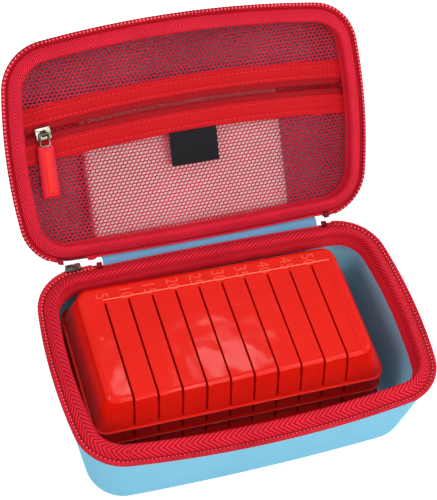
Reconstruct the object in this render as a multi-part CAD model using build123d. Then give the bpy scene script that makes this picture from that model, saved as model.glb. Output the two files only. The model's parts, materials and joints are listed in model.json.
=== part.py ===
from build123d import *
from dataclasses import dataclass
from math import asin, atan, cos, degrees, pi, radians, sin, sqrt, tan
import os

# Card game case: zip-closed hard shell with a mesh pocket in its lid and four nested card racks.
# Millimetres. The origin is the centre of the base's underside, +X runs along the hinge, +Y points
# to the hinge and +Z is up. The case stands with its lid open.

# Outline of the case at the outer edge of the main zip's coil
HALF_WIDTH = 110.0
HALF_DEPTH = 68.7
CORNER_RADIUS = 28.8
FRONT_BOW = 5.0
BACK_BOW = 1.4
SIDE_BOW = 2.4

# Heights of the two shells, each from its closed face to the crest of its rim
BASE_HEIGHT = 63.1
LID_HEIGHT = 30.0
CLOSE_GAP = 0.4

# Hinge line, measured in from the back of the outline and down from the base's crest
HINGE_INSET = 2.1
HINGE_DROP = 0.07
OPEN_ANGLE = 128.9

# Shell, lining and rim
SHELL_WALL = 2.6
LINING_THICKNESS = 0.7
TAPE_THICKNESS = 0.8
RIM_FOOT_DROP = 6.1
RIM_FOOT_INSET = 2.0
CREST_INSET = 9.0
OPENING_INSET = 11.8
TAPE_EDGE_INSET = 0.7
TAPE_SHELF_INSET = 3.6
TAPE_SHELF_DROP = 4.9
LID_FLANGE_DEPTH = 9.4

# Main zip, its ends measured in from the sides, and the hinge strip between its ends
COIL_WIDTH = 3.3
COIL_HEIGHT = 1.6
ZIP_INSET_LEFT = 44.0
ZIP_INSET_RIGHT = 32.0
LID_ZIP_SETBACK = 22.0
STOP_LENGTH = 3.0
HINGE_TAPE_INSET = 1.6
STRIP_GAP_LEFT = 4.0
STRIP_GAP_RIGHT = 6.0
STRIP_THICKNESS = 1.2
STRIP_DROP = 15.0
STRIP_REACH = 3.0
STRIP_CLEARANCE = 0.3

# Main slider, placed by its angle round the back left corner
SLIDER_LENGTH = 9.0
SLIDER_WALL = 1.1
SLIDER_CLEARANCE = 0.4
SLIDER_ANGLE = 3.0
NOTCH_LENGTH = 17.0

# Pull sets: a crown on the slider, a wire bail and a rubber tab
WIRE_RADIUS = 0.55
WIRE_CLEARANCE = 0.35
CROWN_WIDTH = 3.0
CROWN_WALL = 0.8
BAIL_WIDTH = 6.4
BAIL_LENGTH = 7.0
TAB_WIDTH = 10.5
TAB_THICKNESS = 3.2
TAB_BEVEL = 0.9
POCKET_TAB_LENGTH = 28.5
MAIN_TAB_LENGTH = 32.0
LUG_WIDTH = 3.6
LUG_LENGTH = 2.6

# Mesh pocket in the lid, across a bowed zip
POCKET_BOW_RADIUS = 905.0
POCKET_BOW_X = 6.0
POCKET_ZIP_Y = -15.4
BAND_UPPER = 15.7
BAND_LOWER = 16.9
ZIP_ZONE = 4.85
POCKET_COIL_WIDTH = 3.8
POCKET_COIL_HEIGHT = 1.8
MESH_THICKNESS = 0.8
BAND_THICKNESS = 1.3
POCKET_TAPE_THICKNESS = 0.7
POCKET_END_INSET = 12.6
POCKET_SLIDER_REST = 10.9
POCKET_SLIDER_LENGTH = 8.5
LABEL_WIDTH = 29.0
LABEL_HEIGHT = 19.6
LABEL_THICKNESS = 0.6
LABEL_X = 2.0
PANEL_CLEARANCE = 0.3

# Card pack in the pocket
PACK_WIDTH = 121.0
PACK_HEIGHT = 78.0
PACK_THICKNESS = 8.0
PACK_CORNER = 5.0
PACK_X = -2.0
PACK_RISE = 5.2
PACK_CLEARANCE = 0.35

# Card racks, placed by the gaps from their lips to the lining at the floor
RACK_COUNT = 4
RACK_PITCH = 11.2
RACK_LEAN = 0.85
RACK_SHIFT = 0.77
RACK_GAP_LEFT = 1.8
RACK_GAP_RIGHT = 7.2
RACK_GAP_FRONT = 19.7
RACK_GAP_BACK = 2.6
RACK_REST = 6.4
RACK_YAW = -0.8
RACK_HEIGHT = 20.4
RACK_SIDE_DRAFT = 7.9
RACK_FRONT_DRAFT = 7.3
RACK_BACK_DRAFT = 0.9
RACK_LIP = 1.5
RACK_LIP_THICKNESS = 1.0
RACK_CORNER = 7.0
RACK_WALL = 0.9
RACK_STEP = 2.5
RACK_EDGE = 3.0
GROOVES = 10
GROOVE_MARGIN_LEFT = 14.5
GROOVE_MARGIN_RIGHT = 16.25
GROOVE_MARGIN_BACK = 9.8
GROOVE_WIDTH = 1.4
GROOVE_FOOT = 1.3
CHANNEL_WALL = 0.8
CHANNEL_CLEARANCE = 0.3

# Places worked out from the sizes above
LID_FACE = BASE_HEIGHT + CLOSE_GAP + LID_HEIGHT
HINGE = Axis((0, HALF_DEPTH - HINGE_INSET, BASE_HEIGHT - HINGE_DROP), (1, 0, 0))
CORNER_X = HALF_WIDTH - CORNER_RADIUS - SIDE_BOW
CORNER_BACK = HALF_DEPTH - CORNER_RADIUS - BACK_BOW
PANEL_TOP = LID_HEIGHT - LID_FLANGE_DEPTH
ZIP_END_LEFT = ZIP_INSET_LEFT - HALF_WIDTH
ZIP_END_RIGHT = HALF_WIDTH - ZIP_INSET_RIGHT
STRIP_LEFT = ZIP_END_LEFT + STRIP_GAP_LEFT
STRIP_RIGHT = ZIP_END_RIGHT - STRIP_GAP_RIGHT
POCKET_END = HALF_WIDTH - POCKET_END_INSET
POCKET_SLIDER_X = POCKET_SLIDER_REST - POCKET_END
FAR = 2 * HALF_WIDTH


@dataclass
class Tray:
    """Drafted tray with bowed sides: sizes of its closed face and its height at the rim's foot."""

    foot: float
    side_inset: float
    long_inset: float
    radius: float
    bow: float
    edge: float
    inner_edge: float


BASE = Tray(BASE_HEIGHT - RIM_FOOT_DROP, 14.2, 11.0, 20.1, 0.25, 14.0, 8.0)
LID = Tray(LID_HEIGHT - RIM_FOOT_DROP, 7.2, 6.0, 23.4, 0.7, 12.0, 9.0)

# Racks, fitted into the base's well
WELL_HALF_WIDTH = HALF_WIDTH - BASE.side_inset - SHELL_WALL - LINING_THICKNESS
WELL_HALF_DEPTH = HALF_DEPTH - BASE.long_inset - SHELL_WALL - LINING_THICKNESS
RACK_HALF_WIDTH = WELL_HALF_WIDTH - (RACK_GAP_LEFT + RACK_GAP_RIGHT) / 2 - RACK_LIP - RACK_SIDE_DRAFT
RACK_FOOT_DEPTH = 2 * WELL_HALF_DEPTH - RACK_GAP_FRONT - RACK_GAP_BACK - 2 * RACK_LIP
RACK_HALF_DEPTH = (RACK_FOOT_DEPTH - RACK_FRONT_DRAFT - RACK_BACK_DRAFT) / 2
RACK_X = (RACK_GAP_LEFT - RACK_GAP_RIGHT) / 2
RACK_Y = WELL_HALF_DEPTH - RACK_GAP_BACK - RACK_LIP - RACK_BACK_DRAFT - RACK_HALF_DEPTH
GROOVE_FIRST = GROOVE_MARGIN_LEFT - RACK_HALF_WIDTH
GROOVE_PITCH = (2 * RACK_HALF_WIDTH - GROOVE_MARGIN_LEFT - GROOVE_MARGIN_RIGHT) / (GROOVES - 1)
GROOVE_BACK = RACK_HALF_DEPTH - GROOVE_MARGIN_BACK


# Outlines

def outline(side_inset, long_inset, radius, bow, height):
    """Wire of four bowed sides and four round corners at one height."""
    right = HALF_WIDTH - side_inset - radius - SIDE_BOW * bow
    front = -(HALF_DEPTH - long_inset - radius - FRONT_BOW * bow)
    back = HALF_DEPTH - long_inset - radius - BACK_BOW * bow
    corners = [Vector(-right, front), Vector(right, front), Vector(right, back), Vector(-right, back)]
    bows = [FRONT_BOW * bow, SIDE_BOW * bow, BACK_BOW * bow, SIDE_BOW * bow]
    normals = []
    edges = []
    for i, sagitta in enumerate(bows):
        chord = corners[(i + 1) % 4] - corners[i]
        outward = chord.rotate(Axis.Z, -90).normalized()
        turn = degrees(2 * atan(2 * sagitta / chord.length))
        normals.append((outward.rotate(Axis.Z, -turn), outward, outward.rotate(Axis.Z, turn)))
    for i, sagitta in enumerate(bows):
        start, outward, end = normals[i]
        corner = corners[(i + 1) % 4]
        middle = (corners[i] + corner) * 0.5 + outward * (sagitta + radius)
        after = normals[(i + 1) % 4][0]
        edges.append(ThreePointArc(corners[i] + start * radius, middle, corner + end * radius))
        round_middle = corner + (end + after).normalized() * radius
        edges.append(ThreePointArc(corner + end * radius, round_middle, corner + after * radius))
    return Pos(0, 0, height) * Wire(edges)


def rim_outline(inset, height=0.0):
    """Outline parallel to the coil's outer edge, at an inset from it."""
    return outline(inset, inset, CORNER_RADIUS - inset, 1.0, height)


def tray_outline(tray, height, shrink):
    """Outline of a tray at one height, drawn in by shrink."""
    share = height / tray.foot
    side = tray.side_inset + (RIM_FOOT_INSET - tray.side_inset) * share
    long = tray.long_inset + (RIM_FOOT_INSET - tray.long_inset) * share
    radius = tray.radius + (CORNER_RADIUS - RIM_FOOT_INSET - tray.radius) * share
    bow = tray.bow + (1.0 - tray.bow) * share
    return outline(side + shrink, long + shrink, radius - shrink, bow, height)


def tray_body(tray, shrink, edge, top):
    """Solid tray from its closed face, drawn in by shrink, to a height."""
    sections = [tray_outline(tray, shrink, shrink), tray_outline(tray, tray.foot, shrink)]
    body = Part(Solid.make_loft(sections, True).wrapped)
    body = fillet(body.edges().group_by(Axis.Z)[0], edge)
    if top < tray.foot:
        body -= box(-FAR, FAR, -FAR, FAR, top, FAR)
    return body


def lining_reach(tray, x, height):
    """Distance from the centre to the lining at the back, at a height above the closed face."""
    shrink = SHELL_WALL + LINING_THICKNESS
    slope = (tray.long_inset - RIM_FOOT_INSET) / tray.foot
    wall = HALF_DEPTH - tray.long_inset - shrink + slope * shrink
    flat = wall - tray.inner_edge * tan((pi / 2 - atan(slope)) / 2)
    drop = shrink + tray.inner_edge - height
    bow = BACK_BOW * (x / HALF_WIDTH) ** 2
    return flat + sqrt(tray.inner_edge**2 - drop**2) - bow


def prism(wire, low, high):
    """Upright solid over a wire, between two heights."""
    return extrude(Pos(0, 0, low) * Face(wire), high - low)


def box(x0, x1, y0, y1, z0, z1):
    """Box between three pairs of limits."""
    return Pos((x0 + x1) / 2, (y0 + y1) / 2, (z0 + z1) / 2) * Box(x1 - x0, y1 - y0, z1 - z0)


# Rim

def rim_sweep(section, crest):
    """Ring swept round the rim from a closed section of inset and height above the crest."""
    path = rim_outline(0.0, crest)
    tangent = path % 0
    inward = Vector(0, 0, 1).cross(tangent)
    plane = Plane(origin=path @ 0, x_dir=inward, z_dir=tangent)
    return sweep(plane * make_face(Polyline(section, close=True)), path)


def flange(crest, depth):
    """In-turned rim of a shell, under its tape."""
    shelf = -TAPE_SHELF_DROP - TAPE_THICKNESS
    inner = OPENING_INSET - TAPE_THICKNESS
    root = RIM_FOOT_INSET + SHELL_WALL * 0.8
    section = [
        (RIM_FOOT_INSET, -RIM_FOOT_DROP),
        (RIM_FOOT_INSET, shelf),
        (TAPE_SHELF_INSET + TAPE_THICKNESS / 2, shelf),
        (CREST_INSET, -TAPE_THICKNESS),
        (inner - TAPE_THICKNESS, -TAPE_THICKNESS),
        (inner, -2 * TAPE_THICKNESS),
        (inner, -depth),
        (root, -depth),
    ]
    if depth > RIM_FOOT_DROP:
        section.append((root, -RIM_FOOT_DROP))
    return rim_sweep(section, crest)


def rim_tape(crest, depth):
    """Zip tape that covers the rim, from the coil over the crest and down its inner face."""
    shelf = -TAPE_SHELF_DROP
    inner = OPENING_INSET
    section = [
        (TAPE_EDGE_INSET, shelf - TAPE_THICKNESS),
        (TAPE_EDGE_INSET, shelf),
        (TAPE_SHELF_INSET, shelf),
        (CREST_INSET - 0.6, -0.2),
        (CREST_INSET + 0.3, 0.0),
        (inner - 1.2, -0.3),
        (inner - 0.3, -1.1),
        (inner, -2.0),
        (inner, -depth),
        (inner - TAPE_THICKNESS, -depth),
        (inner - TAPE_THICKNESS, -2 * TAPE_THICKNESS),
        (inner - 2 * TAPE_THICKNESS, -TAPE_THICKNESS),
        (CREST_INSET, -TAPE_THICKNESS),
        (TAPE_SHELF_INSET + TAPE_THICKNESS / 2, shelf - TAPE_THICKNESS),
    ]
    return rim_sweep(section, crest)


def hinge_trim(crest, left, right, inset):
    """Block round the back of the rim that trims a ring to an inset between two X limits."""
    block = box(left, right, 0, FAR, crest - FAR / 4, crest + FAR / 4)
    return block - prism(rim_outline(inset), crest - FAR / 4, crest + FAR / 4)


def zip_coil(crest, left, right):
    """Coil along the outer edge of the tape, open at the hinge between two X limits."""
    low = -TAPE_SHELF_DROP
    section = [(0, low), (0, low + COIL_HEIGHT), (COIL_WIDTH, low + COIL_HEIGHT), (COIL_WIDTH, low)]
    return rim_sweep(section, crest) - box(left, right, 0, FAR, crest - FAR / 4, crest)


def zip_stops(crest, left, right):
    """Two metal stops that close the open ends of a coil."""
    low = -TAPE_SHELF_DROP
    high = low + COIL_HEIGHT
    ring = rim_sweep([(0, low), (0, high), (COIL_WIDTH, high), (COIL_WIDTH, low)], crest)
    first = ring & box(left, left + STOP_LENGTH, 0, FAR, crest - FAR / 4, crest)
    second = ring & box(right - STOP_LENGTH, right, 0, FAR, crest - FAR / 4, crest)
    return Compound(children=[first.solid(), second.solid()])


# Base

def base_shell():
    """Moulded shell of the base."""
    wall = tray_body(BASE, 0.0, BASE.edge, BASE.foot)
    cavity = tray_body(BASE, SHELL_WALL, BASE.inner_edge + LINING_THICKNESS, BASE.foot)
    return (wall - cavity) + flange(BASE_HEIGHT, RIM_FOOT_DROP)


def base_lining():
    """Lining of the base, on the floor, up the wall and under the rim."""
    outer = tray_body(BASE, SHELL_WALL, BASE.inner_edge + LINING_THICKNESS, BASE.foot)
    inner = tray_body(BASE, SHELL_WALL + LINING_THICKNESS, BASE.inner_edge, BASE.foot - LINING_THICKNESS)
    return outer - inner - prism(rim_outline(OPENING_INSET - TAPE_THICKNESS), BASE.foot / 2, BASE.foot)


def base_zip_tape():
    """Zip tape of the base, narrower along the hinge."""
    tape = rim_tape(BASE_HEIGHT, RIM_FOOT_DROP)
    return tape - hinge_trim(BASE_HEIGHT, ZIP_END_LEFT, ZIP_END_RIGHT, HINGE_TAPE_INSET)


def opened(y, height):
    """Point of the open lid, given by its Y on the closed case and its height above the lid's face."""
    return Edge.make_line((0, y, LID_FACE - height), (1, y, LID_FACE - height)).rotate(HINGE, -OPEN_ANGLE) @ 0


def strip_lip():
    """Part of the hinge strip that bridges the gap from the base's wall to the open lid's wall."""
    rise = STRIP_REACH * (LID.long_inset - RIM_FOOT_INSET) / LID.foot
    foot = opened(HALF_DEPTH - RIM_FOOT_INSET, LID.foot)
    low = opened(HALF_DEPTH - RIM_FOOT_INSET - rise, LID.foot - STRIP_REACH)
    along = (low - foot).normalized()
    away = Vector(0, along.Z, -along.Y) * STRIP_CLEARANCE
    root = HALF_DEPTH - RIM_FOOT_INSET
    top = [(root - BACK_BOW, BASE.foot), (root + STRIP_THICKNESS, BASE.foot)]
    top += [(point.Y, point.Z) for point in (foot + away, low + away)]
    bottom = [(y, z - STRIP_THICKNESS) for y, z in reversed(top)]
    lip = extrude(Plane.YZ * make_face(Polyline(top + bottom, close=True)), STRIP_RIGHT - STRIP_LEFT)
    return Pos(STRIP_LEFT, 0, 0) * lip


def hinge_strip():
    """Fabric strip sewn to the back of the base, with the lip that carries the lid."""
    low = BASE.foot - STRIP_DROP
    outer = [tray_outline(BASE, low, -STRIP_THICKNESS), tray_outline(BASE, BASE.foot, -STRIP_THICKNESS)]
    inner = [tray_outline(BASE, low, 0.0), tray_outline(BASE, BASE.foot, 0.0)]
    wall = Part(Solid.make_loft(inner, True).wrapped)
    leaf = Part(Solid.make_loft(outer, True).wrapped) - wall
    leaf &= box(STRIP_LEFT, STRIP_RIGHT, 0, FAR, low, BASE.foot)
    return leaf + (strip_lip() - wall)


# Lid, drawn face down with its crest on top, then set open

def lid_shell():
    """Moulded shell of the lid."""
    wall = tray_body(LID, 0.0, LID.edge, LID.foot)
    cavity = tray_body(LID, SHELL_WALL, LID.inner_edge + LINING_THICKNESS, LID.foot)
    return (wall - cavity) + flange(LID_HEIGHT, LID_FLANGE_DEPTH)


def lid_lining():
    """Lining of the lid, on its face and up its wall."""
    outer = tray_body(LID, SHELL_WALL, LID.inner_edge + LINING_THICKNESS, PANEL_TOP)
    inner = tray_body(LID, SHELL_WALL + LINING_THICKNESS, LID.inner_edge, PANEL_TOP)
    return outer - inner


def lid_zip_tape():
    """Zip tape of the lid, narrower along the hinge and notched for the main slider."""
    tape = rim_tape(LID_HEIGHT, LID_FLANGE_DEPTH)
    tape -= hinge_trim(LID_HEIGHT, ZIP_END_LEFT, ZIP_END_RIGHT, HINGE_TAPE_INSET)
    notch_left = slider_place().X - NOTCH_LENGTH / 2
    return tape - hinge_trim(LID_HEIGHT, notch_left, notch_left + NOTCH_LENGTH, TAPE_SHELF_INSET)


# Pocket

def panel_blank(low, high):
    """Slab across the lid just behind its rim, clear of the lining."""
    shrink = SHELL_WALL + LINING_THICKNESS + PANEL_CLEARANCE
    return prism(Pos(0, 0, -PANEL_TOP) * tray_outline(LID, PANEL_TOP, shrink), low, high)


def bow_disc(offset, low, high):
    """Disc about the far centre of the pocket's bow, its edge at an offset from the zip line."""
    centre = POCKET_ZIP_Y + POCKET_BOW_RADIUS
    disc = Cylinder(POCKET_BOW_RADIUS + offset, high - low)
    return Pos(POCKET_BOW_X, centre, (low + high) / 2) * disc


def bow_band(near, far, low, high):
    """Bowed band across the pocket between two offsets from the zip line, positive to the lid's edge."""
    return (panel_blank(low, high) & bow_disc(far, low, high)) - bow_disc(near, low, high)


def pocket_mesh_upper():
    """Mesh beyond the upper band."""
    low = PANEL_TOP - MESH_THICKNESS
    return panel_blank(low, PANEL_TOP) - bow_disc(BAND_UPPER, low, PANEL_TOP)


def pocket_mesh_lower():
    """Mesh between the lower band and the hinge side."""
    low = PANEL_TOP - MESH_THICKNESS
    return panel_blank(low, PANEL_TOP) & bow_disc(-BAND_LOWER, low, PANEL_TOP)


def pocket_band(near, far):
    """Folded band that binds a mesh edge to the pocket zip."""
    return bow_band(near, far, PANEL_TOP - BAND_THICKNESS, PANEL_TOP)


def pocket_tape(near, far):
    """Tape of the pocket zip on one side of its coil."""
    middle = PANEL_TOP - BAND_THICKNESS / 2
    half = POCKET_TAPE_THICKNESS / 2
    return bow_band(near, far, middle - half, middle + half)


def pocket_coil_span():
    """Box that ends the pocket's coil short of the rim on both sides."""
    return box(-POCKET_END, POCKET_END, -FAR, FAR, 0, LID_HEIGHT)


def pocket_coil_bar():
    """Closed coil of the pocket zip with the metal stops' lengths included."""
    middle = PANEL_TOP - BAND_THICKNESS / 2
    half = POCKET_COIL_WIDTH / 2
    return bow_band(-half, half, middle - POCKET_COIL_HEIGHT / 2, middle + POCKET_COIL_HEIGHT / 2)


def pocket_zip_coil():
    """Coil of the pocket zip between its stops."""
    reach = POCKET_END - STOP_LENGTH / 2
    return pocket_coil_bar() & box(-reach, reach, -FAR, FAR, 0, LID_HEIGHT)


def pocket_zip_stops():
    """Two metal stops at the ends of the pocket's coil."""
    reach = POCKET_END - STOP_LENGTH / 2
    ends = pocket_coil_bar() & pocket_coil_span()
    ends -= box(-reach, reach, -FAR, FAR, 0, LID_HEIGHT)
    return Compound(children=list(ends.solids()))


def pocket_label():
    """Blank sewn label that hangs from the lower band."""
    top = POCKET_ZIP_Y + BAND_LOWER
    slab = box(-LABEL_WIDTH / 2, LABEL_WIDTH / 2, top, top + LABEL_HEIGHT, 0, LABEL_THICKNESS)
    return Pos(LABEL_X, 0, PANEL_TOP) * slab


def card_pack():
    """Pack of cards with its far edge on the lid's face and its near edge on the curve by the hinge."""
    seat = SHELL_WALL + LINING_THICKNESS + PACK_CLEARANCE
    edge = lining_reach(LID, PACK_X - PACK_WIDTH / 2, seat + PACK_RISE) - PACK_CLEARANCE
    tilt = degrees(asin(PACK_RISE / PACK_HEIGHT))
    slab = extrude(RectangleRounded(PACK_WIDTH, PACK_HEIGHT, PACK_CORNER), PACK_THICKNESS)
    return Pos(PACK_X, edge, seat + PACK_RISE) * Rot(tilt, 0, 0) * Pos(0, -PACK_HEIGHT / 2, 0) * slab


# Sliders and pulls, each drawn about its own bar with the tab hanging down

def crown():
    """Loop on a slider that holds the bail's bar, its hole along X at the origin."""
    bore = WIRE_RADIUS + WIRE_CLEARANCE
    outer = bore + CROWN_WALL
    ring = Rot(0, 90, 0) * (Cylinder(outer, CROWN_WIDTH) - Cylinder(bore, CROWN_WIDTH))
    return ring


def bail():
    """Wire loop from the crown to the tab."""
    half = BAIL_WIDTH / 2 - WIRE_RADIUS
    corner = half * 0.35
    path = Plane.XZ * Pos(0, -BAIL_LENGTH / 2) * RectangleRounded(2 * half, BAIL_LENGTH, corner)
    wire = path.wire()
    return sweep(Plane(origin=wire @ 0, z_dir=wire % 0) * Circle(WIRE_RADIUS), wire)


def pull_tab(length):
    """Rubber tab with bevelled edges and a lug that the bail passes through."""
    bore = WIRE_RADIUS + WIRE_CLEARANCE
    body_top = -LUG_LENGTH
    body = box(-TAB_WIDTH / 2, TAB_WIDTH / 2, -TAB_THICKNESS / 2, TAB_THICKNESS / 2, body_top - length, body_top)
    body = fillet(body.edges().filter_by(Axis.Y), TAB_WIDTH / 4)
    body = chamfer(body.faces().filter_by(Axis.Y).edges(), TAB_BEVEL)
    half = LUG_WIDTH / 2
    lug = box(-half, half, -TAB_THICKNESS / 2, TAB_THICKNESS / 2, body_top - TAB_BEVEL, 0)
    lug += Rot(0, 90, 0) * Cylinder(TAB_THICKNESS / 2, LUG_WIDTH)
    return Pos(0, 0, -BAIL_LENGTH) * (body + lug - Rot(0, 90, 0) * Cylinder(bore, LUG_WIDTH * 2))


# Main slider

def slider_place():
    """Point on the coil's outer edge where the main slider rests."""
    turn = radians(SLIDER_ANGLE)
    return Vector(-CORNER_X - CORNER_RADIUS * sin(turn), CORNER_BACK + CORNER_RADIUS * cos(turn))


def at_main_slider(piece):
    """Piece drawn about the coil's outer edge, +Y outward and Z from the crest, set in its place."""
    place = slider_place()
    return Pos(place.X, place.Y, BASE_HEIGHT) * Rot(0, 0, SLIDER_ANGLE) * piece


def main_crown_height():
    """Height of the main bail's bar below the crest."""
    bottom = TAPE_SHELF_DROP + TAPE_THICKNESS + SLIDER_CLEARANCE + SLIDER_WALL
    return -(bottom + WIRE_RADIUS + WIRE_CLEARANCE + CROWN_WALL / 2)


def main_crown_reach():
    """Distance of the main bail's bar outside the coil's edge."""
    return SLIDER_CLEARANCE + SLIDER_WALL / 2


def main_slider():
    """Slider that wraps the edge of the base's coil and tape."""
    half = SLIDER_LENGTH / 2
    top = -TAPE_SHELF_DROP + COIL_HEIGHT + SLIDER_CLEARANCE
    bottom = -TAPE_SHELF_DROP - TAPE_THICKNESS - SLIDER_CLEARANCE
    out = SLIDER_CLEARANCE + SLIDER_WALL
    plate = box(-half, half, -COIL_WIDTH + 0.2, out, top, top + SLIDER_WALL)
    under = box(-half, half, -RIM_FOOT_INSET + SLIDER_CLEARANCE, out, bottom - SLIDER_WALL, bottom)
    spine = box(-half, half, SLIDER_CLEARANCE, out, bottom - SLIDER_WALL, top + SLIDER_WALL)
    body = plate + under + spine
    body = fillet(body.edges().filter_by(Axis.Z).group_by(Axis.Y)[-1], SLIDER_WALL * 0.8)
    body += Pos(0, main_crown_reach(), main_crown_height()) * crown()
    return at_main_slider(body)


def at_main_crown(piece):
    """Pull set piece hung from the main slider's crown."""
    return at_main_slider(Pos(0, main_crown_reach(), main_crown_height()) * piece)


# Pocket slider

def pocket_slider_turn():
    """Angle round the bow's centre from its apex to the pocket slider."""
    return degrees(atan((POCKET_SLIDER_X - POCKET_BOW_X) / POCKET_BOW_RADIUS))


def pocket_slider_top():
    """Height of the pocket slider's upper face above the lid's face."""
    middle = PANEL_TOP - BAND_THICKNESS / 2
    return middle + POCKET_COIL_HEIGHT / 2 + SLIDER_CLEARANCE + SLIDER_WALL


def pocket_slider():
    """Slider that rides on the pocket's coil."""
    half = POCKET_COIL_WIDTH / 2 + SLIDER_CLEARANCE
    top = pocket_slider_top()
    low = PANEL_TOP - BAND_THICKNESS / 2 + POCKET_TAPE_THICKNESS / 2 + SLIDER_CLEARANCE
    outer = half + SLIDER_WALL
    length = POCKET_SLIDER_LENGTH / 2
    body = box(-length, length, -outer, outer, low, top) - box(-FAR, FAR, -half, half, 0, top - SLIDER_WALL)
    body = fillet(body.edges().filter_by(Axis.Z), SLIDER_WALL * 0.45)
    body += Pos(0, 0, top + WIRE_RADIUS + WIRE_CLEARANCE + CROWN_WALL / 2) * crown()
    centre = Axis((POCKET_BOW_X, POCKET_ZIP_Y + POCKET_BOW_RADIUS, 0), (0, 0, 1))
    return (Pos(POCKET_BOW_X, POCKET_ZIP_Y, 0) * body).rotate(centre, pocket_slider_turn())


def at_pocket_crown(piece):
    """Pull set piece laid on the pocket from its slider's crown, tab towards the hinge."""
    turn = radians(pocket_slider_turn())
    x = POCKET_BOW_X + POCKET_BOW_RADIUS * sin(turn)
    y = POCKET_ZIP_Y + POCKET_BOW_RADIUS * (1 - cos(turn))
    z = pocket_slider_top() + WIRE_RADIUS + WIRE_CLEARANCE + CROWN_WALL / 2
    return Pos(x, y, z) * Rot(90, 0, 0) * piece


# Card racks

def rack_outline(draft_share, shrink, height):
    """Rounded rectangle of a rack: share 0 at its top and 1 at its foot."""
    side = RACK_HALF_WIDTH + RACK_SIDE_DRAFT * draft_share - shrink
    front = RACK_HALF_DEPTH + RACK_FRONT_DRAFT * draft_share - shrink
    back = RACK_HALF_DEPTH + RACK_BACK_DRAFT * draft_share - shrink
    face = RectangleRounded(2 * side, front + back, RACK_CORNER - shrink)
    return Pos(0, (back - front) / 2, height) * face


def rack_block(shrink, edge):
    """Drafted block of a rack with a soft top edge, drawn in by shrink."""
    foot = rack_outline(1.0, shrink, 0.0)
    top = rack_outline(0.0, shrink, RACK_HEIGHT - shrink)
    block = loft([foot.face(), top.face()], ruled=True)
    return fillet(block.edges().group_by(Axis.Z)[-1], edge)


def rack_steps(drop, back):
    """Prism below the saw-toothed top, which is level behind the grooves."""
    grooves = [GROOVE_FIRST + GROOVE_PITCH * i for i in range(GROOVES)]
    limits = [-RACK_HALF_WIDTH] + grooves + [RACK_HALF_WIDTH]
    points = [(-FAR, -FAR), (-FAR, RACK_HEIGHT - RACK_STEP - drop)]
    for left, right in zip(limits, limits[1:]):
        points.append((left, RACK_HEIGHT - RACK_STEP - drop))
        points.append((right, RACK_HEIGHT - drop))
    points += [(FAR, RACK_HEIGHT - drop), (FAR, -FAR)]
    toothed = extrude(Plane.XZ * make_face(Polyline(points, close=True)), FAR, both=True)
    level = box(-FAR, FAR, back, FAR, -FAR, RACK_HEIGHT - drop)
    return toothed + level


def rack_body():
    """Thin drafted tray of a rack, upside down, with its lip."""
    outer = rack_block(0.0, RACK_EDGE) & rack_steps(0.0, GROOVE_BACK)
    inner = rack_block(RACK_WALL, RACK_EDGE - RACK_WALL) & rack_steps(RACK_WALL, GROOVE_BACK + RACK_WALL)
    lip = extrude(rack_outline(1.0, -RACK_LIP, 0.0), RACK_LIP_THICKNESS)
    lip -= extrude(rack_outline(1.0, RACK_WALL / 2, 0.0), RACK_LIP_THICKNESS)
    return outer - inner + lip


def rack_channel(x):
    """Closed channel under one groove, to be cut by the groove."""
    half = GROOVE_WIDTH / 2 + CHANNEL_WALL
    bottom = RACK_HEIGHT - RACK_PITCH + CHANNEL_CLEARANCE
    block = box(x - half, x + half, -FAR, GROOVE_BACK + RACK_WALL, bottom, RACK_HEIGHT)
    return block & rack_block(RACK_WALL / 2, RACK_EDGE) & rack_steps(RACK_WALL / 2, GROOVE_BACK)


def rack_groove(x):
    """Slot of one groove, through the top and down the front wall past the channel's floor."""
    half = GROOVE_WIDTH / 2
    bottom = RACK_HEIGHT - RACK_PITCH + CHANNEL_CLEARANCE + CHANNEL_WALL
    front = RACK_WALL - RACK_HALF_DEPTH - RACK_FRONT_DRAFT / 2
    slot = box(x - half, x + half, -FAR, GROOVE_BACK, bottom, FAR)
    return slot + box(x - half, x + half, -FAR, front, GROOVE_FOOT, FAR)


def card_rack():
    """Card rack with ten grooves, in its own frame with its foot at zero."""
    rack = rack_body()
    for i in range(GROOVES):
        rack += rack_channel(GROOVE_FIRST + GROOVE_PITCH * i)
    for i in range(GROOVES):
        rack -= rack_groove(GROOVE_FIRST + GROOVE_PITCH * i)
    return rack


def place_rack(rack, index):
    """Rack set in the stack, counted from the top."""
    level = RACK_COUNT - 1 - index
    place = Pos(RACK_X - RACK_SHIFT * level, RACK_Y - RACK_LEAN * index, RACK_REST + RACK_PITCH * level)
    return place * Rot(0, 0, RACK_YAW) * rack


# Assembly

def open_lid(piece):
    """Piece drawn in the lid's own frame, set on the open lid."""
    closed = Pos(0, 0, LID_FACE) * mirror(piece, Plane.XY)
    return closed.rotate(HINGE, -OPEN_ANGLE)


def base_nodes():
    """Pieces of the base."""
    return {
        "base_shell": base_shell(),
        "base_lining": base_lining(),
        "base_zip_tape": base_zip_tape(),
        "base_zip_coil": zip_coil(BASE_HEIGHT, ZIP_END_LEFT, ZIP_END_RIGHT),
        "base_zip_stops": zip_stops(BASE_HEIGHT, ZIP_END_LEFT, ZIP_END_RIGHT),
        "hinge_strip": hinge_strip(),
    }


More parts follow.
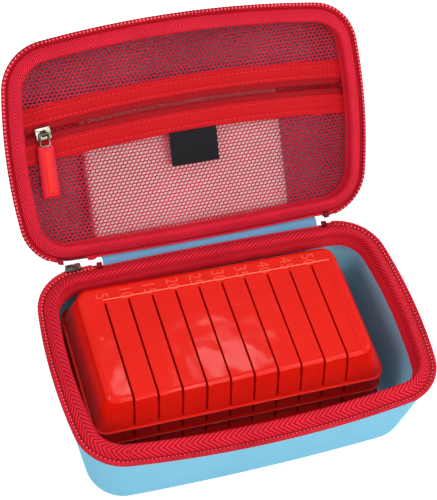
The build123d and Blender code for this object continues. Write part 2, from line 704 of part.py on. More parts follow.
def lid_nodes():
    """Pieces of the lid and its pocket, in the lid's own frame."""
    left = ZIP_END_LEFT - LID_ZIP_SETBACK
    right = ZIP_END_RIGHT + STOP_LENGTH
    half_coil = POCKET_COIL_WIDTH / 2
    return {
        "lid_shell": lid_shell(),
        "lid_lining": lid_lining(),
        "lid_zip_tape": lid_zip_tape(),
        "lid_zip_coil": zip_coil(LID_HEIGHT, left, right),
        "lid_zip_stops": zip_stops(LID_HEIGHT, left, right),
        "pocket_mesh_upper": pocket_mesh_upper(),
        "pocket_mesh_lower": pocket_mesh_lower(),
        "pocket_band_upper": pocket_band(ZIP_ZONE, BAND_UPPER),
        "pocket_band_lower": pocket_band(-BAND_LOWER, -ZIP_ZONE),
        "pocket_zip_tape_upper": pocket_tape(half_coil, ZIP_ZONE),
        "pocket_zip_tape_lower": pocket_tape(-ZIP_ZONE, -half_coil),
        "pocket_zip_coil": pocket_zip_coil(),
        "pocket_zip_stops": pocket_zip_stops(),
        "pocket_label": pocket_label(),
        "pocket_slider": pocket_slider(),
        "pocket_bail": at_pocket_crown(bail()),
        "pocket_pull_tab": at_pocket_crown(pull_tab(POCKET_TAB_LENGTH)),
        "card_pack": card_pack(),
    }


def main_slider_nodes():
    """Main slider and its pull."""
    return {
        "main_slider": main_slider(),
        "main_bail": at_main_crown(bail()),
        "main_pull_tab": at_main_crown(pull_tab(MAIN_TAB_LENGTH)),
    }


def rack_nodes():
    """Stack of card racks, from the top down."""
    rack = card_rack()
    return {f"card_rack_{i + 1}": place_rack(rack, i) for i in range(RACK_COUNT)}


def main():
    """Write each piece to its own file."""
    os.makedirs("parts", exist_ok=True)
    nodes = base_nodes()
    nodes.update({name: open_lid(piece) for name, piece in lid_nodes().items()})
    nodes.update(main_slider_nodes())
    nodes.update(rack_nodes())
    for name, piece in nodes.items():
        export_step(piece, f"parts/{name}.step")


main()
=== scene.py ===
"""Visual model of a zip-closed card game case: fabric, zips, mesh pocket, racks and a plain studio."""

from __future__ import annotations

import json
import logging
import math
from dataclasses import dataclass
from enum import Enum

import bmesh
import bpy
import numpy as np
from mathutils import Matrix, Vector

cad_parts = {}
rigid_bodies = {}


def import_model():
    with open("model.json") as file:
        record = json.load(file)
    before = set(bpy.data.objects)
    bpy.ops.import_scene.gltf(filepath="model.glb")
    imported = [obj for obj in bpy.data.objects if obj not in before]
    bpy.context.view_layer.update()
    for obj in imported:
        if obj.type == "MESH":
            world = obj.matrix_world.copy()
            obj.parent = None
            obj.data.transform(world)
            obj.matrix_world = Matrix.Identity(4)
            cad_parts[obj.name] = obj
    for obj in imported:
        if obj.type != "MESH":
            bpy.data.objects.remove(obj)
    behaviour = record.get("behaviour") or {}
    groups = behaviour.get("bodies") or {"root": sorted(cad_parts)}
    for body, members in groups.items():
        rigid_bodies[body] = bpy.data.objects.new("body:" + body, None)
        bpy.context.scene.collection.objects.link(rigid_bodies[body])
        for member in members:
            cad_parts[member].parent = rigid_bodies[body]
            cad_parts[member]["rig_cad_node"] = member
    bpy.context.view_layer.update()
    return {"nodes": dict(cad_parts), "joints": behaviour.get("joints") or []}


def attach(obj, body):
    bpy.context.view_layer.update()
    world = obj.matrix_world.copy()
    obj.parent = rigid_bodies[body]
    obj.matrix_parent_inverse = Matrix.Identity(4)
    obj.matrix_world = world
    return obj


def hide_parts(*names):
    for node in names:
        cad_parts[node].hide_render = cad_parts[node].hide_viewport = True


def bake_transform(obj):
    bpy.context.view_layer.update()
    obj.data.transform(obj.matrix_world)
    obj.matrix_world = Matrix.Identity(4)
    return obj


LOG = logging.getLogger("card_case")
MM = 0.001
WEAVE_MAP = "weave"
TINY = 1e-4
SHADER_TURN = 6.28318
# Power that rounds the ends of a bead
BLUNT = 0.6
# Share, pace, shares of the phase and of v, and start of each wave in a ripple
RIPPLE_WAVES = ((1.0, 1.0, 1.0, 0.31, 0.0), (0.6, 0.437, 1.7, -0.17, 2.1), (0.45, 1.93, -1.0, 0.0, 0.9))


def linear(red: int, green: int, blue: int) -> tuple[float, float, float, float]:
    """Colour written as display values from 0 to 255, as scene linear RGBA."""
    parts = [value / 255.0 for value in (red, green, blue)]
    return tuple(((p + 0.055) / 1.055) ** 2.4 if p > 0.04045 else p / 12.92 for p in parts) + (1.0,)


def raised(flat: np.ndarray, height: float | np.ndarray) -> np.ndarray:
    """Flat points with their height added as Z."""
    return np.column_stack([flat, np.broadcast_to(height, len(flat))])


def directions(angles: np.ndarray) -> np.ndarray:
    """Unit vectors at angles from X."""
    return np.column_stack([np.cos(angles), np.sin(angles)])


def circle(count: int, start: float = 0.0) -> np.ndarray:
    """Unit vectors evenly round a circle."""
    return directions(np.arange(count) * 2 * math.pi / count + start)


# Outline of the case


@dataclass(frozen=True)
class Outline:
    """Rounded outline with four bowed sides, in millimetres.

    Args:
        half_width: half of the width over the zip.
        half_depth: half of the depth over the zip, at the middle of the sides.
        corner_radius: radius of the corners at the coil's outer edge.
        front_bow: rise of the front side's bow.
        back_bow: rise of the hinge side's bow.
        side_bow: rise of the short sides' bows.
        measured: inset at which running lengths are taken.
        long_steps: points along each long side.
        short_steps: points along each short side.
        corner_steps: points round each corner.
    """

    half_width: float = 110.0
    half_depth: float = 68.7
    corner_radius: float = 28.8
    front_bow: float = 5.0
    back_bow: float = 1.4
    side_bow: float = 2.4
    measured: float = 5.0
    long_steps: int = 96
    short_steps: int = 44
    corner_steps: int = 28

    def core(self, side_inset: float, long_inset: float, radius: float, bow: float) -> tuple:
        """Points and outward normals of the line that the corners turn about.

        Args:
            side_inset: inset of the short sides.
            long_inset: inset of the long sides.
            radius: corner radius at this level.
            bow: share of the full bows.

        Returns:
            Arrays of points and of unit normals, in order from the front left.
        """
        right = self.half_width - side_inset - radius - self.side_bow * bow
        front = -(self.half_depth - long_inset - radius - self.front_bow * bow)
        back = self.half_depth - long_inset - radius - self.back_bow * bow
        corners = np.array([(-right, front), (right, front), (right, back), (-right, back)])
        bows = np.array([self.front_bow, self.side_bow, self.back_bow, self.side_bow]) * bow + TINY
        steps = [self.long_steps, self.short_steps, self.long_steps, self.short_steps]
        points, normals = [], []
        for side in range(4):
            start, end = corners[side], corners[(side + 1) % 4]
            chord = end - start
            length = float(np.hypot(*chord))
            outward = np.array([chord[1], -chord[0]]) / length
            heading = math.atan2(outward[1], outward[0])
            turn = 2 * math.atan(2 * bows[side] / length)
            arc = length / (2 * math.sin(turn))
            centre = (start + end) / 2 - outward * (arc - bows[side])
            angles = heading - turn + 2 * turn * np.arange(steps[side]) / steps[side]
            unit = directions(angles)
            points.append(centre + unit * arc)
            normals.append(unit)
            following = corners[(side + 2) % 4] - end
            next_length = float(np.hypot(*following))
            next_turn = 2 * math.atan(2 * bows[(side + 1) % 4] / next_length)
            first = heading + turn
            last = heading + math.pi / 2 - next_turn
            angles = first + (last - first) * np.arange(self.corner_steps) / self.corner_steps
            points.append(np.repeat(end[None, :], self.corner_steps, axis=0))
            normals.append(directions(angles))
        return np.concatenate(points), np.concatenate(normals)

    def level(self, side_inset: float, long_inset: float, radius: float, bow: float, height: float) -> np.ndarray:
        """Loop of points at one height of a tray."""
        points, normals = self.core(side_inset, long_inset, radius, bow)
        return raised(points + normals * radius, height)

    def rim(self, inset: float | np.ndarray, height: float | np.ndarray) -> np.ndarray:
        """Loop parallel to the coil's outer edge; inset and height may vary along it."""
        points, normals = self.core(0.0, 0.0, self.corner_radius, 1.0)
        reach = self.corner_radius - np.broadcast_to(inset, len(points))
        return raised(points + normals * reach[:, None], height)

    def lengths(self) -> np.ndarray:
        """Running length round the rim, one value more than there are points."""
        loop = self.rim(self.measured, 0.0)
        steps = np.linalg.norm(np.roll(loop, -1, axis=0) - loop, axis=1)
        return np.concatenate([[0.0], np.cumsum(steps)])

    def back_length(self, x: float) -> float:
        """Running length at which the hinge side passes an X."""
        loop = self.rim(self.measured, 0.0)
        back = np.where((loop[:, 1] > 0) & (np.abs(loop[:, 0]) < self.half_width - self.measured))[0]
        order = back[np.argsort(loop[back, 0])]
        return float(np.interp(x, loop[order, 0], self.lengths()[order]))

    def run(self, start: float, end: float, pitch: float) -> tuple[np.ndarray, np.ndarray, np.ndarray]:
        """Samples along the rim between two running lengths, wrapping past the start.

        Args:
            start: running length of the first sample.
            end: running length of the last sample.
            pitch: distance between samples.

        Returns:
            Core points, outward normals and running lengths.
        """
        points, normals = self.core(0.0, 0.0, self.corner_radius, 1.0)
        lengths = self.lengths()
        points = np.vstack([points, points[:1]])
        normals = np.vstack([normals, normals[:1]])
        count = max(2, int(round((end - start) / pitch)) + 1)
        along = np.linspace(start, end, count)
        wrapped = np.mod(along, lengths[-1])
        core = np.column_stack([np.interp(wrapped, lengths, points[:, i]) for i in range(2)])
        unit = np.column_stack([np.interp(wrapped, lengths, normals[:, i]) for i in range(2)])
        unit /= np.linalg.norm(unit, axis=1)[:, None]
        return core, unit, along


@dataclass(frozen=True)
class Seat:
    """Where a sub-assembly's own frame lies in the case.

    Args:
        body: name of the body that its pieces ride on.
        face: height of the lid's face on the closed case, or zero for the base.
        hinge: Y and Z of the hinge line, in millimetres.
        angle: opening angle of the lid in radians, or zero for the base.
    """

    body: str
    face: float = 0.0
    hinge: tuple[float, float] = (0.0, 0.0)
    angle: float = 0.0

    def place(self, points: np.ndarray) -> np.ndarray:
        """Points of the sub-assembly's frame, moved into the case's frame."""
        if not self.angle:
            return points
        y = points[..., 1] - self.hinge[0]
        z = self.face - points[..., 2] - self.hinge[1]
        cosine, sine = math.cos(-self.angle), math.sin(-self.angle)
        placed = np.empty_like(points)
        placed[..., 0] = points[..., 0]
        placed[..., 1] = self.hinge[0] + y * cosine - z * sine
        placed[..., 2] = self.hinge[1] + y * sine + z * cosine
        return placed

    def local(self, points: np.ndarray) -> np.ndarray:
        """Points of the case's frame, moved into the open lid's frame."""
        y = points[:, 1] - self.hinge[0]
        z = points[:, 2] - self.hinge[1]
        cosine, sine = math.cos(-self.angle), math.sin(-self.angle)
        along = self.hinge[0] + y * cosine + z * sine
        return np.column_stack([points[:, 0], along, self.face - (self.hinge[1] - y * sine + z * cosine)])


CASE = Seat("base")


# Mesh building


class Form(Enum):
    """How the rows of a lofted piece close."""

    CUP = "closed rows, the first and the last filled"
    BAR = "open rows that join round the section, filled at both ends"
    RING = "closed rows that join round the section"


def linked(name: str, data: bpy.types.ID) -> bpy.types.Object:
    """New object with its data, linked into the scene."""
    thing = bpy.data.objects.new(name, data)
    bpy.context.scene.collection.objects.link(thing)
    return thing


def vertices(piece: bpy.types.Object) -> np.ndarray:
    """Places of a piece's vertices, in metres."""
    return np.array([tuple(vertex.co) for vertex in piece.data.vertices])


def add_mesh(name: str, points: np.ndarray, faces: list, weave: np.ndarray | None = None) -> bpy.types.Object:
    """Object with a mesh in metres from points in millimetres.

    Args:
        name: name of the piece.
        points: array of points in millimetres.
        faces: lists of point indices.
        weave: one weave coordinate in millimetres for each face corner, or None.

    Returns:
        The linked object, shaded smooth.
    """
    mesh = bpy.data.meshes.new(name)
    mesh.from_pydata((points * MM).tolist(), [], faces)
    if weave is not None:
        layer = mesh.uv_layers.new(name=WEAVE_MAP)
        layer.data.foreach_set("uv", (weave * MM).astype(np.float32).ravel())
    mesh.validate()
    mesh.shade_smooth()
    return linked(name, mesh)


def lofted(
    name: str,
    rows: list[np.ndarray],
    seat: Seat,
    along: np.ndarray,
    form: Form = Form.BAR,
    sharp: float = 40.0,
) -> bpy.types.Object:
    """Piece whose faces join one row of points to the next.

    Args:
        name: name of the piece.
        rows: lines of equal size, in the seat's frame.
        seat: where the piece lies.
        along: running length at each point of a row, one more where the row closes.
        form: how the rows close.
        sharp: angle in degrees above which an edge stays crisp.

    Returns:
        The piece, with weave coordinates along and across its rows.
    """
    grid = np.array(rows)
    levels, size = grid.shape[:2]
    steps = np.linalg.norm(grid[1:] - grid[:-1], axis=2).mean(axis=1)
    across = np.concatenate([[0.0], np.cumsum(steps)])
    if form is not Form.CUP:
        across = np.append(across, across[-1] + np.linalg.norm(grid[0] - grid[-1], axis=1).mean())
    faces, weave = [], []
    for row in range(levels - 1 if form is Form.CUP else levels):
        upper = (row + 1) % levels
        for i in range(size - 1 if form is Form.BAR else size):
            j = (i + 1) % size
            faces.append((row * size + i, row * size + j, upper * size + j, upper * size + i))
            low, high = across[row], across[row + 1]
            weave += [(along[i], low), (along[i + 1], low), (along[i + 1], high), (along[i], high)]
    points = grid.reshape(-1, 3)
    if form is Form.CUP:
        for row in (0, levels - 1):
            faces.append(tuple(row * size + i for i in range(size)))
            weave += [tuple(points[row * size + i, :2]) for i in range(size)]
    if form is Form.BAR:
        for i in (0, size - 1):
            faces.append(tuple(row * size + i for row in range(levels)))
            weave += [(along[i], across[row]) for row in range(levels)]
    piece = add_mesh(name, seat.place(points), faces, np.array(weave))
    tidy_normals(piece, sharp)
    return piece


def tidy_normals(piece: bpy.types.Object, sharp: float) -> None:
    """Turn a closed piece's faces outward and mark the edges that stay crisp."""
    work = bmesh.new()
    work.from_mesh(piece.data)
    bmesh.ops.recalc_face_normals(work, faces=work.faces)
    work.to_mesh(piece.data)
    work.free()
    piece.data.set_sharp_from_angle(angle=math.radians(sharp))


def scattered(name: str, shape: tuple[np.ndarray, list], places: list[np.ndarray], seat: Seat) -> bpy.types.Object:
    """One piece made of many copies of a small shape.

    Args:
        name: name of the piece.
        shape: points and faces of the small shape.
        places: a 3 by 4 matrix for each copy, in the seat's frame.
        seat: where the piece lies.

    Returns:
        The piece.
    """
    points, faces = shape
    copies = [points @ place[:, :3].T + place[:, 3] for place in places]
    joined = []
    for number in range(len(places)):
        base = number * len(points)
        joined += [tuple(base + i for i in face) for face in faces]
    piece = add_mesh(name, seat.place(np.concatenate(copies)), joined)
    tidy_normals(piece, 60.0)
    return piece


def pill(length: float, width: float, height: float, around: int = 8, rings: int = 4) -> tuple[np.ndarray, list]:
    """Rounded bead that is length along X, width along Y and height along Z.

    Args:
        length: size along X.
        width: size along Y.
        height: size along Z.
        around: points round the bead.
        rings: rings from end to end.

    Returns:
        Points and faces.
    """
    points = [(-length / 2, 0.0, 0.0)]
    for ring in range(rings):
        angle = math.pi * (ring + 1) / (rings + 1)
        x = -math.cos(angle) * length / 2
        reach = math.sin(angle) ** BLUNT
        for i in range(around):
            turn = 2 * math.pi * i / around
            points.append((x, math.cos(turn) * width / 2 * reach, math.sin(turn) * height / 2 * reach))
    points.append((length / 2, 0.0, 0.0))
    faces = [(0, 1 + (i + 1) % around, 1 + i) for i in range(around)]
    for ring in range(rings - 1):
        base = 1 + ring * around
        for i in range(around):
            j = (i + 1) % around
            faces.append((base + i, base + j, base + around + j, base + around + i))
    base = 1 + (rings - 1) * around
    last = len(points) - 1
    faces += [(base + i, base + (i + 1) % around, last) for i in range(around)]
    return np.array(points), faces


def turned(x: float, y: float, z: float, angle: float) -> np.ndarray:
    """Place at a point with X turned by an angle about Z."""
    cosine, sine = math.cos(angle), math.sin(angle)
    return np.array([[cosine, -sine, 0.0, x], [sine, cosine, 0.0, y], [0.0, 0.0, 1.0, z]])


def ripple(u: np.ndarray, v: float, size: float, length: float, phase: float = 0.0) -> np.ndarray:
    """Gentle uneven wave along u, the same on every run."""
    turn = 2 * math.pi * u / length
    waves = [share * np.sin(turn * pace + phase * lead + v * slope + start)
             for share, pace, lead, slope, start in RIPPLE_WAVES]
    return size * sum(waves) / sum(wave[0] for wave in RIPPLE_WAVES)


# Shader node groups


class Net:
    """Small helper that adds nodes to a tree and joins them."""

    def __init__(self, tree: bpy.types.NodeTree) -> None:
        """Work on a node tree."""
        self.tree = tree

    def add(self, kind: str, **settings: object) -> bpy.types.Node:
        """New node with its settings."""
        node = self.tree.nodes.new(kind)
        for key, value in settings.items():
            setattr(node, key, value)
        return node

    def feed(self, socket: bpy.types.NodeSocket, value: object) -> None:
        """Join a socket to another socket, or set its value."""
        if isinstance(value, bpy.types.NodeSocket):
            self.tree.links.new(value, socket)
        else:
            socket.default_value = value

    def math(self, operation: str, *values: object) -> bpy.types.NodeSocket:
        """Result of a math node."""
        node = self.add("ShaderNodeMath", operation=operation)
        for socket, value in zip(node.inputs, values):
            self.feed(socket, value)
        return node.outputs[0]

    def times(self, first: object, second: object) -> bpy.types.NodeSocket:
        """Product of two values."""
        return self.math("MULTIPLY", first, second)

    def plus(self, first: object, second: object) -> bpy.types.NodeSocket:
        """Sum of two values."""
        return self.math("ADD", first, second)

    def minus(self, first: object, second: object) -> bpy.types.NodeSocket:
        """Difference of two values."""
        return self.math("SUBTRACT", first, second)

    def scaled(self, value: object, factor: object, offset: object) -> bpy.types.NodeSocket:
        """Value times a factor, plus an offset."""
        return self.math("MULTIPLY_ADD", value, factor, offset)

    def seen(self) -> bpy.types.NodeSocket:
        """One for camera, glossy and transmission rays, else zero."""
        path = self.add("ShaderNodeLightPath")
        direct = self.math("MAXIMUM", path.outputs["Is Camera Ray"], path.outputs["Is Glossy Ray"])
        return self.math("MAXIMUM", direct, path.outputs["Is Transmission Ray"])

    def give(self, node: bpy.types.Node, values: dict[str, object]) -> None:
        """Set or join a node's inputs by name."""
        for key, value in values.items():
            self.feed(node.inputs[key], value)

    def mix(self, factor: object, first: object, second: object) -> bpy.types.NodeSocket:
        """Colour between two colours."""
        node = self.add("ShaderNodeMix", data_type="RGBA")
        self.feed(node.inputs[0], factor)
        self.feed(node.inputs[6], first)
        self.feed(node.inputs[7], second)
        return node.outputs[2]

    def split(self, vector: bpy.types.NodeSocket) -> list[bpy.types.NodeSocket]:
        """X, Y and Z of a vector."""
        node = self.add("ShaderNodeSeparateXYZ")
        self.feed(node.inputs[0], vector)
        return list(node.outputs)

    def noise(self, vector: object, scale: object, detail: float = 2.0) -> bpy.types.NodeSocket:
        """Noise value from 0 to 1."""
        node = self.add("ShaderNodeTexNoise")
        self.give(node, {"Vector": vector, "Scale": scale, "Detail": detail})
        return node.outputs[0]

    def ramp(self, value: object, low: object, high: object) -> bpy.types.NodeSocket:
        """Value mapped smoothly from a range to 0 and 1."""
        node = self.add("ShaderNodeMapRange", interpolation_type="SMOOTHSTEP")
        self.give(node, {"Value": value, "From Min": low, "From Max": high})
        return node.outputs[0]


class Effect(Enum):
    """Shared effects, each a node group."""

    TWILL = "twill weave"
    HERRINGBONE = "herringbone weave"
    PLAIN = "plain weave"
    MOTTLE = "uneven shade"
    SCUFF = "fine scuffs"


class Effects:
    """Builds each shared effect once and places it in materials."""

    # Directions of the twill's ribs and of the threads across them, and where they fade out
    RUNS = ((0.597, 0.597, 0.537), (0.577, -0.577, -0.577))
    FADE = (0.90, 0.98)
    # Pitch of the strands in a herringbone and softness of its plain edge, in metres
    STRAND = 0.0007
    EDGE_BLUR = 0.0012

    def __init__(self) -> None:
        """Start with no effect built."""
        self.built: dict[Effect, bpy.types.NodeTree] = {}

    def group(self, effect: Effect) -> bpy.types.NodeTree:
        """Node group of an effect, built on first use."""
        if effect not in self.built:
            makers = {
                Effect.TWILL: self.twill,
                Effect.HERRINGBONE: self.herringbone,
                Effect.PLAIN: self.plain,
                Effect.MOTTLE: self.mottle,
                Effect.SCUFF: self.scuff,
            }
            self.built[effect] = makers[effect](effect.value)
        return self.built[effect]

    @staticmethod
    def start(name: str, inputs: dict[str, float | None], outputs: list[str]) -> tuple:
        """Empty group with its sockets.

        Args:
            name: name of the group.
            inputs: float inputs with their values, or None for a vector.
            outputs: names of the float outputs.

        Returns:
            The tree, a Net on it, its input sockets by name and its output node.
        """
        tree = bpy.data.node_groups.new(name, "ShaderNodeTree")
        for key, value in inputs.items():
            kind = "NodeSocketVector" if value is None else "NodeSocketFloat"
            socket = tree.interface.new_socket(name=key, in_out="INPUT", socket_type=kind)
            if value is not None:
                socket.default_value = value
        for key in outputs:
            tree.interface.new_socket(name=key, in_out="OUTPUT", socket_type="NodeSocketFloat")
        net = Net(tree)
        source = net.add("NodeGroupInput")
        sink = net.add("NodeGroupOutput")
        return tree, net, {key: source.outputs[key] for key in inputs}, sink

    def twill(self, name: str) -> bpy.types.NodeTree:
        """Fine diagonal ribs crossed by single threads, which fade where the surface would stretch them."""
        inputs = {"Vector": None, "Facing": None, "Pitch": 0.0007}
        tree, net, given, sink = self.start(name, inputs, ["Height", "Shade"])
        kept = []
        for run in self.RUNS:
            along = net.add("ShaderNodeVectorMath", operation="DOT_PRODUCT")
            net.feed(along.inputs[0], given["Facing"])
            along.inputs[1].default_value = run
            facing = net.math("ABSOLUTE", along.outputs["Value"])
            kept.append(net.minus(1.0, net.ramp(facing, *self.FADE)))
        x, y, z = net.split(given["Vector"])
        lean = net.plus(x, net.plus(y, net.times(z, 0.9)))
        cycle = net.math("DIVIDE", SHADER_TURN, given["Pitch"])
        rib = net.math("SINE", net.times(lean, cycle))
        counter = net.minus(x, net.plus(y, z))
        thread = net.math("SINE", net.times(counter, net.times(cycle, 2.0)))
        both = net.plus(net.times(rib, kept[0]),
                        net.times(net.times(thread, kept[1]), 0.35))
        height = net.scaled(both, 0.37, 0.5)
        net.feed(sink.inputs["Height"], height)
        net.feed(sink.inputs["Shade"], net.ramp(height, 0.0, 1.0))
        return tree

    def herringbone(self, name: str) -> bpy.types.NodeTree:
        """Ribs in V rows along the tape, with a turn line across its width."""
        inputs = {"Vector": None, "Pitch": 0.0022, "Turn": 0.0035, "Lean": 1.35, "Reach": 0.0125}
        tree, net, given, sink = self.start(name, inputs, ["Height", "Shade", "Edge"])
        u, v, _ = net.split(given["Vector"])
        away = net.math("ABSOLUTE", net.minus(v, given["Turn"]))
        lean = net.plus(u, net.times(away, given["Lean"]))
        phase = net.math("FRACT", net.math("DIVIDE", lean, given["Pitch"]))
        ridge = net.minus(1.0, net.math("ABSOLUTE", net.scaled(phase, 2.0, -1.0)))
        strand = net.math("SINE", net.math("DIVIDE", net.times(v, SHADER_TURN), self.STRAND))
        height = net.scaled(strand, 0.1, net.ramp(ridge, 0.15, 0.75))
        net.feed(sink.inputs["Height"], height)
        net.feed(sink.inputs["Shade"], net.ramp(ridge, 0.1, 0.7))
        net.feed(sink.inputs["Edge"], net.ramp(v, given["Reach"], net.plus(given["Reach"], self.EDGE_BLUR)))
        return tree

    def plain(self, name: str) -> bpy.types.NodeTree:
        """Over and under weave."""
        tree, net, given, sink = self.start(name, {"Vector": None, "Pitch": 0.0008}, ["Height", "Shade"])
        u, v, _ = net.split(given["Vector"])
        cycle = net.math("DIVIDE", SHADER_TURN, given["Pitch"])
        warp = net.math("SINE", net.times(u, cycle))
        weft = net.math("SINE", net.times(v, cycle))
        height = net.scaled(net.times(warp, weft), 0.5, 0.5)
        net.feed(sink.inputs["Height"], height)
        net.feed(sink.inputs["Shade"], height)
        return tree

    def mottle(self, name: str) -> bpy.types.NodeTree:
        """Broad uneven shade with a finer one in it."""
        tree, net, given, sink = self.start(name, {"Vector": None, "Scale": 30.0}, ["Shade"])
        broad = net.noise(given["Vector"], given["Scale"], 2.0)
        fine = net.noise(given["Vector"], net.times(given["Scale"], 14.0), 3.0)
        blend = net.plus(net.times(broad, 0.7), net.times(fine, 0.3))
        net.feed(sink.inputs["Shade"], net.ramp(blend, 0.3, 0.7))
        return tree

    def scuff(self, name: str) -> bpy.types.NodeTree:
        """Sparse fine scratches, as a mask."""
        tree, net, given, sink = self.start(name, {"Vector": None, "Scale": 60.0}, ["Mask"])
        stretch = net.add("ShaderNodeVectorMath", operation="MULTIPLY")
        net.feed(stretch.inputs[0], given["Vector"])
        stretch.inputs[1].default_value = (1.0, 0.12, 1.0)
        streak = net.noise(stretch.outputs[0], net.times(given["Scale"], 9.0), 5.0)
        net.feed(sink.inputs["Mask"], net.ramp(streak, 0.62, 0.74))
        return tree


class Coordinate(Enum):
    """What a pattern follows."""

    WEAVE = "weave map"
    OBJECT = "piece"


@dataclass(frozen=True)
class Finish:
    """Base of all finishes.

    Args:
        name: name of the material.
        slot: material slot of the record; not used.
        colour: main colour, as display values from 0 to 255.
        dark: colour of its hollows, in the same way.
        rough: roughness.
        depth: height of the pattern in metres.
        pitch: pattern repeat in metres.
        metal: metallic value.
        gloss: specular level.
        follows: coordinate of the pattern.
    """

    name: str
    slot: str
    colour: tuple
    dark: tuple
    rough: float = 0.7
    depth: float = 0.0002
    pitch: float = 0.0008
    metal: float = 0.0
    gloss: float = 0.15
    follows: Coordinate = Coordinate.WEAVE

    def begin(self) -> tuple[bpy.types.Material, Net, bpy.types.Node]:
        """New material with its plain values set on the shader's own sockets."""
        material = bpy.data.materials.new(self.name)
        material.use_nodes = True
        net = Net(material.node_tree)
        shader = material.node_tree.nodes["Principled BSDF"]
        net.give(shader, {"Roughness": self.rough, "Metallic": self.metal, "Specular IOR Level": self.gloss})
        return material, net, shader

    def colour_by(self, net: Net, shader: bpy.types.Node, factor: object) -> None:
        """Base colour between the hollows' and the main one."""
        net.feed(shader.inputs["Base Color"], net.mix(factor, linear(*self.dark), linear(*self.colour)))

    def coordinate(self, net: Net) -> bpy.types.NodeSocket:
        """Vector that the pattern follows."""
        if self.follows is Coordinate.WEAVE:
            return net.add("ShaderNodeUVMap", uv_map=WEAVE_MAP).outputs[0]
        return net.add("ShaderNodeTexCoord").outputs["Object"]

    def effect(self, net: Net, effects: Effects, effect: Effect, **values: object) -> bpy.types.Node:
        """Group node of an effect with its values."""
        node = net.add("ShaderNodeGroup", node_tree=effects.group(effect))
        net.give(node, values)
        return node

    def emboss(self, net: Net, shader: bpy.types.Node, height: object, depth: float | None = None) -> None:
        """Bump from a height that feeds the shader's normal."""
        bump = net.add("ShaderNodeBump")
        net.give(bump, {"Strength": 1.0, "Distance": self.depth if depth is None else depth, "Height": height})
        net.feed(shader.inputs["Normal"], bump.outputs[0])


@dataclass(frozen=True)
class Woven(Finish):
    """Fabric with a twill or plain weave and an uneven shade.

    Args:
        weave: effect of the weave.
        uneven: how much the shade varies.
        patches: scale of its variation.
    """

    weave: Effect = Effect.TWILL
    uneven: float = 0.25
    patches: float = 28.0

    def build(self, effects: Effects) -> bpy.types.Material:
        """Material of the fabric."""
        material, net, shader = self.begin()
        where = self.coordinate(net)
        body = net.add("ShaderNodeTexCoord").outputs["Object"]
        weave = self.effect(net, effects, self.weave, Vector=where, Pitch=self.pitch)
        if self.weave is Effect.TWILL:
            net.feed(weave.inputs["Facing"], net.add("ShaderNodeTexCoord").outputs["Normal"])
        mottle = self.effect(net, effects, Effect.MOTTLE, Vector=body, Scale=self.patches)
        shade = net.scaled(mottle.outputs["Shade"], self.uneven, 1.0 - self.uneven)
        factor = net.times(weave.outputs["Shade"], shade)
        self.colour_by(net, shader, factor)
        self.emboss(net, shader, weave.outputs["Height"])
        return material


@dataclass(frozen=True)
class Herringbone(Finish):
    """Zip tape with V ribs, plain along its turned edge, and a dark line of painted shade beside the coil, where the
    tape folds.

    Args:
        turn: distance across the tape at which the ribs turn, in metres.
        lean: slope of the ribs.
        reach: distance across the tape at which it turns plain.
        shade_line: distance across the tape of the dark line.
        shade_line_width: width of that line.
        fine_pitch: repeat of the plain edge's weave.
        patches: scale of the shade's variation.
    """

    turn: float = 0.0078
    lean: float = 1.3
    reach: float = 0.0165
    shade_line: float = 0.0030
    shade_line_width: float = 0.0004
    fine_pitch: float = 0.0009
    patches: float = 45.0

    def build(self, effects: Effects) -> bpy.types.Material:
        """Material of the tape."""
        material, net, shader = self.begin()
        where = self.coordinate(net)
        ribs = self.effect(
            net, effects, Effect.HERRINGBONE, Vector=where, Pitch=self.pitch, Turn=self.turn, Lean=self.lean,
            Reach=self.reach,
        )
        fine = self.effect(net, effects, Effect.PLAIN, Vector=where, Pitch=self.fine_pitch)
        edge = ribs.outputs["Edge"]
        height = net.plus(net.times(ribs.outputs["Height"], net.minus(1.0, edge)),
                          net.times(fine.outputs["Height"], net.times(edge, 0.5)))
        body = net.add("ShaderNodeTexCoord").outputs["Object"]
        mottle = self.effect(net, effects, Effect.MOTTLE, Vector=body, Scale=self.patches)
        lit = net.math("MAXIMUM", ribs.outputs["Shade"], net.times(edge, 0.75))
        lit = net.times(lit, net.scaled(mottle.outputs["Shade"], 0.25, 0.75))
        _, v, _ = net.split(where)
        # Dark line beside the coil: painted shade of the tape's fold there.
        gap = net.math("ABSOLUTE", net.minus(v, self.shade_line))
        line = net.ramp(gap, self.shade_line_width / 2, self.shade_line_width * 1.5)
        self.colour_by(net, shader, net.times(lit, line))
        self.emboss(net, shader, net.times(height, line))
        return material


@dataclass(frozen=True)
class Moulded(Finish):
    """Plastic, rubber or card with a faint grain and fine scuffs.

    Args:
        depth: height of the grain in metres.
        grain: scale of the grain.
        scuffs: how much rougher the scuffs are.
        wave: height of the broad waves in metres.
        spread: scale of those waves.
        patches: scale of the shade's variation.
        scratches: scale of the scuffs.
    """

    depth: float = 0.00002
    grain: float = 500.0
    scuffs: float = 0.1
    wave: float = 0.0
    spread: float = 55.0
    patches: float = 18.0
    scratches: float = 40.0

    def build(self, effects: Effects) -> bpy.types.Material:
        """Material of the moulding."""
        material, net, shader = self.begin()
        body = net.add("ShaderNodeTexCoord").outputs["Object"]
        mottle = self.effect(net, effects, Effect.MOTTLE, Vector=body, Scale=self.patches)
        scuff = self.effect(net, effects, Effect.SCUFF, Vector=body, Scale=self.scratches)
        self.colour_by(net, shader, mottle.outputs["Shade"])
        rough = net.scaled(scuff.outputs["Mask"], self.scuffs, self.rough)
        net.feed(shader.inputs["Roughness"], rough)
        height = net.times(net.noise(body, self.grain, 2.0), self.depth)
        if self.wave:
            broad = net.times(net.noise(body, self.spread, 1.0), self.wave)
            height = net.plus(height, broad)
        self.emboss(net, shader, height, 1.0)
        return material


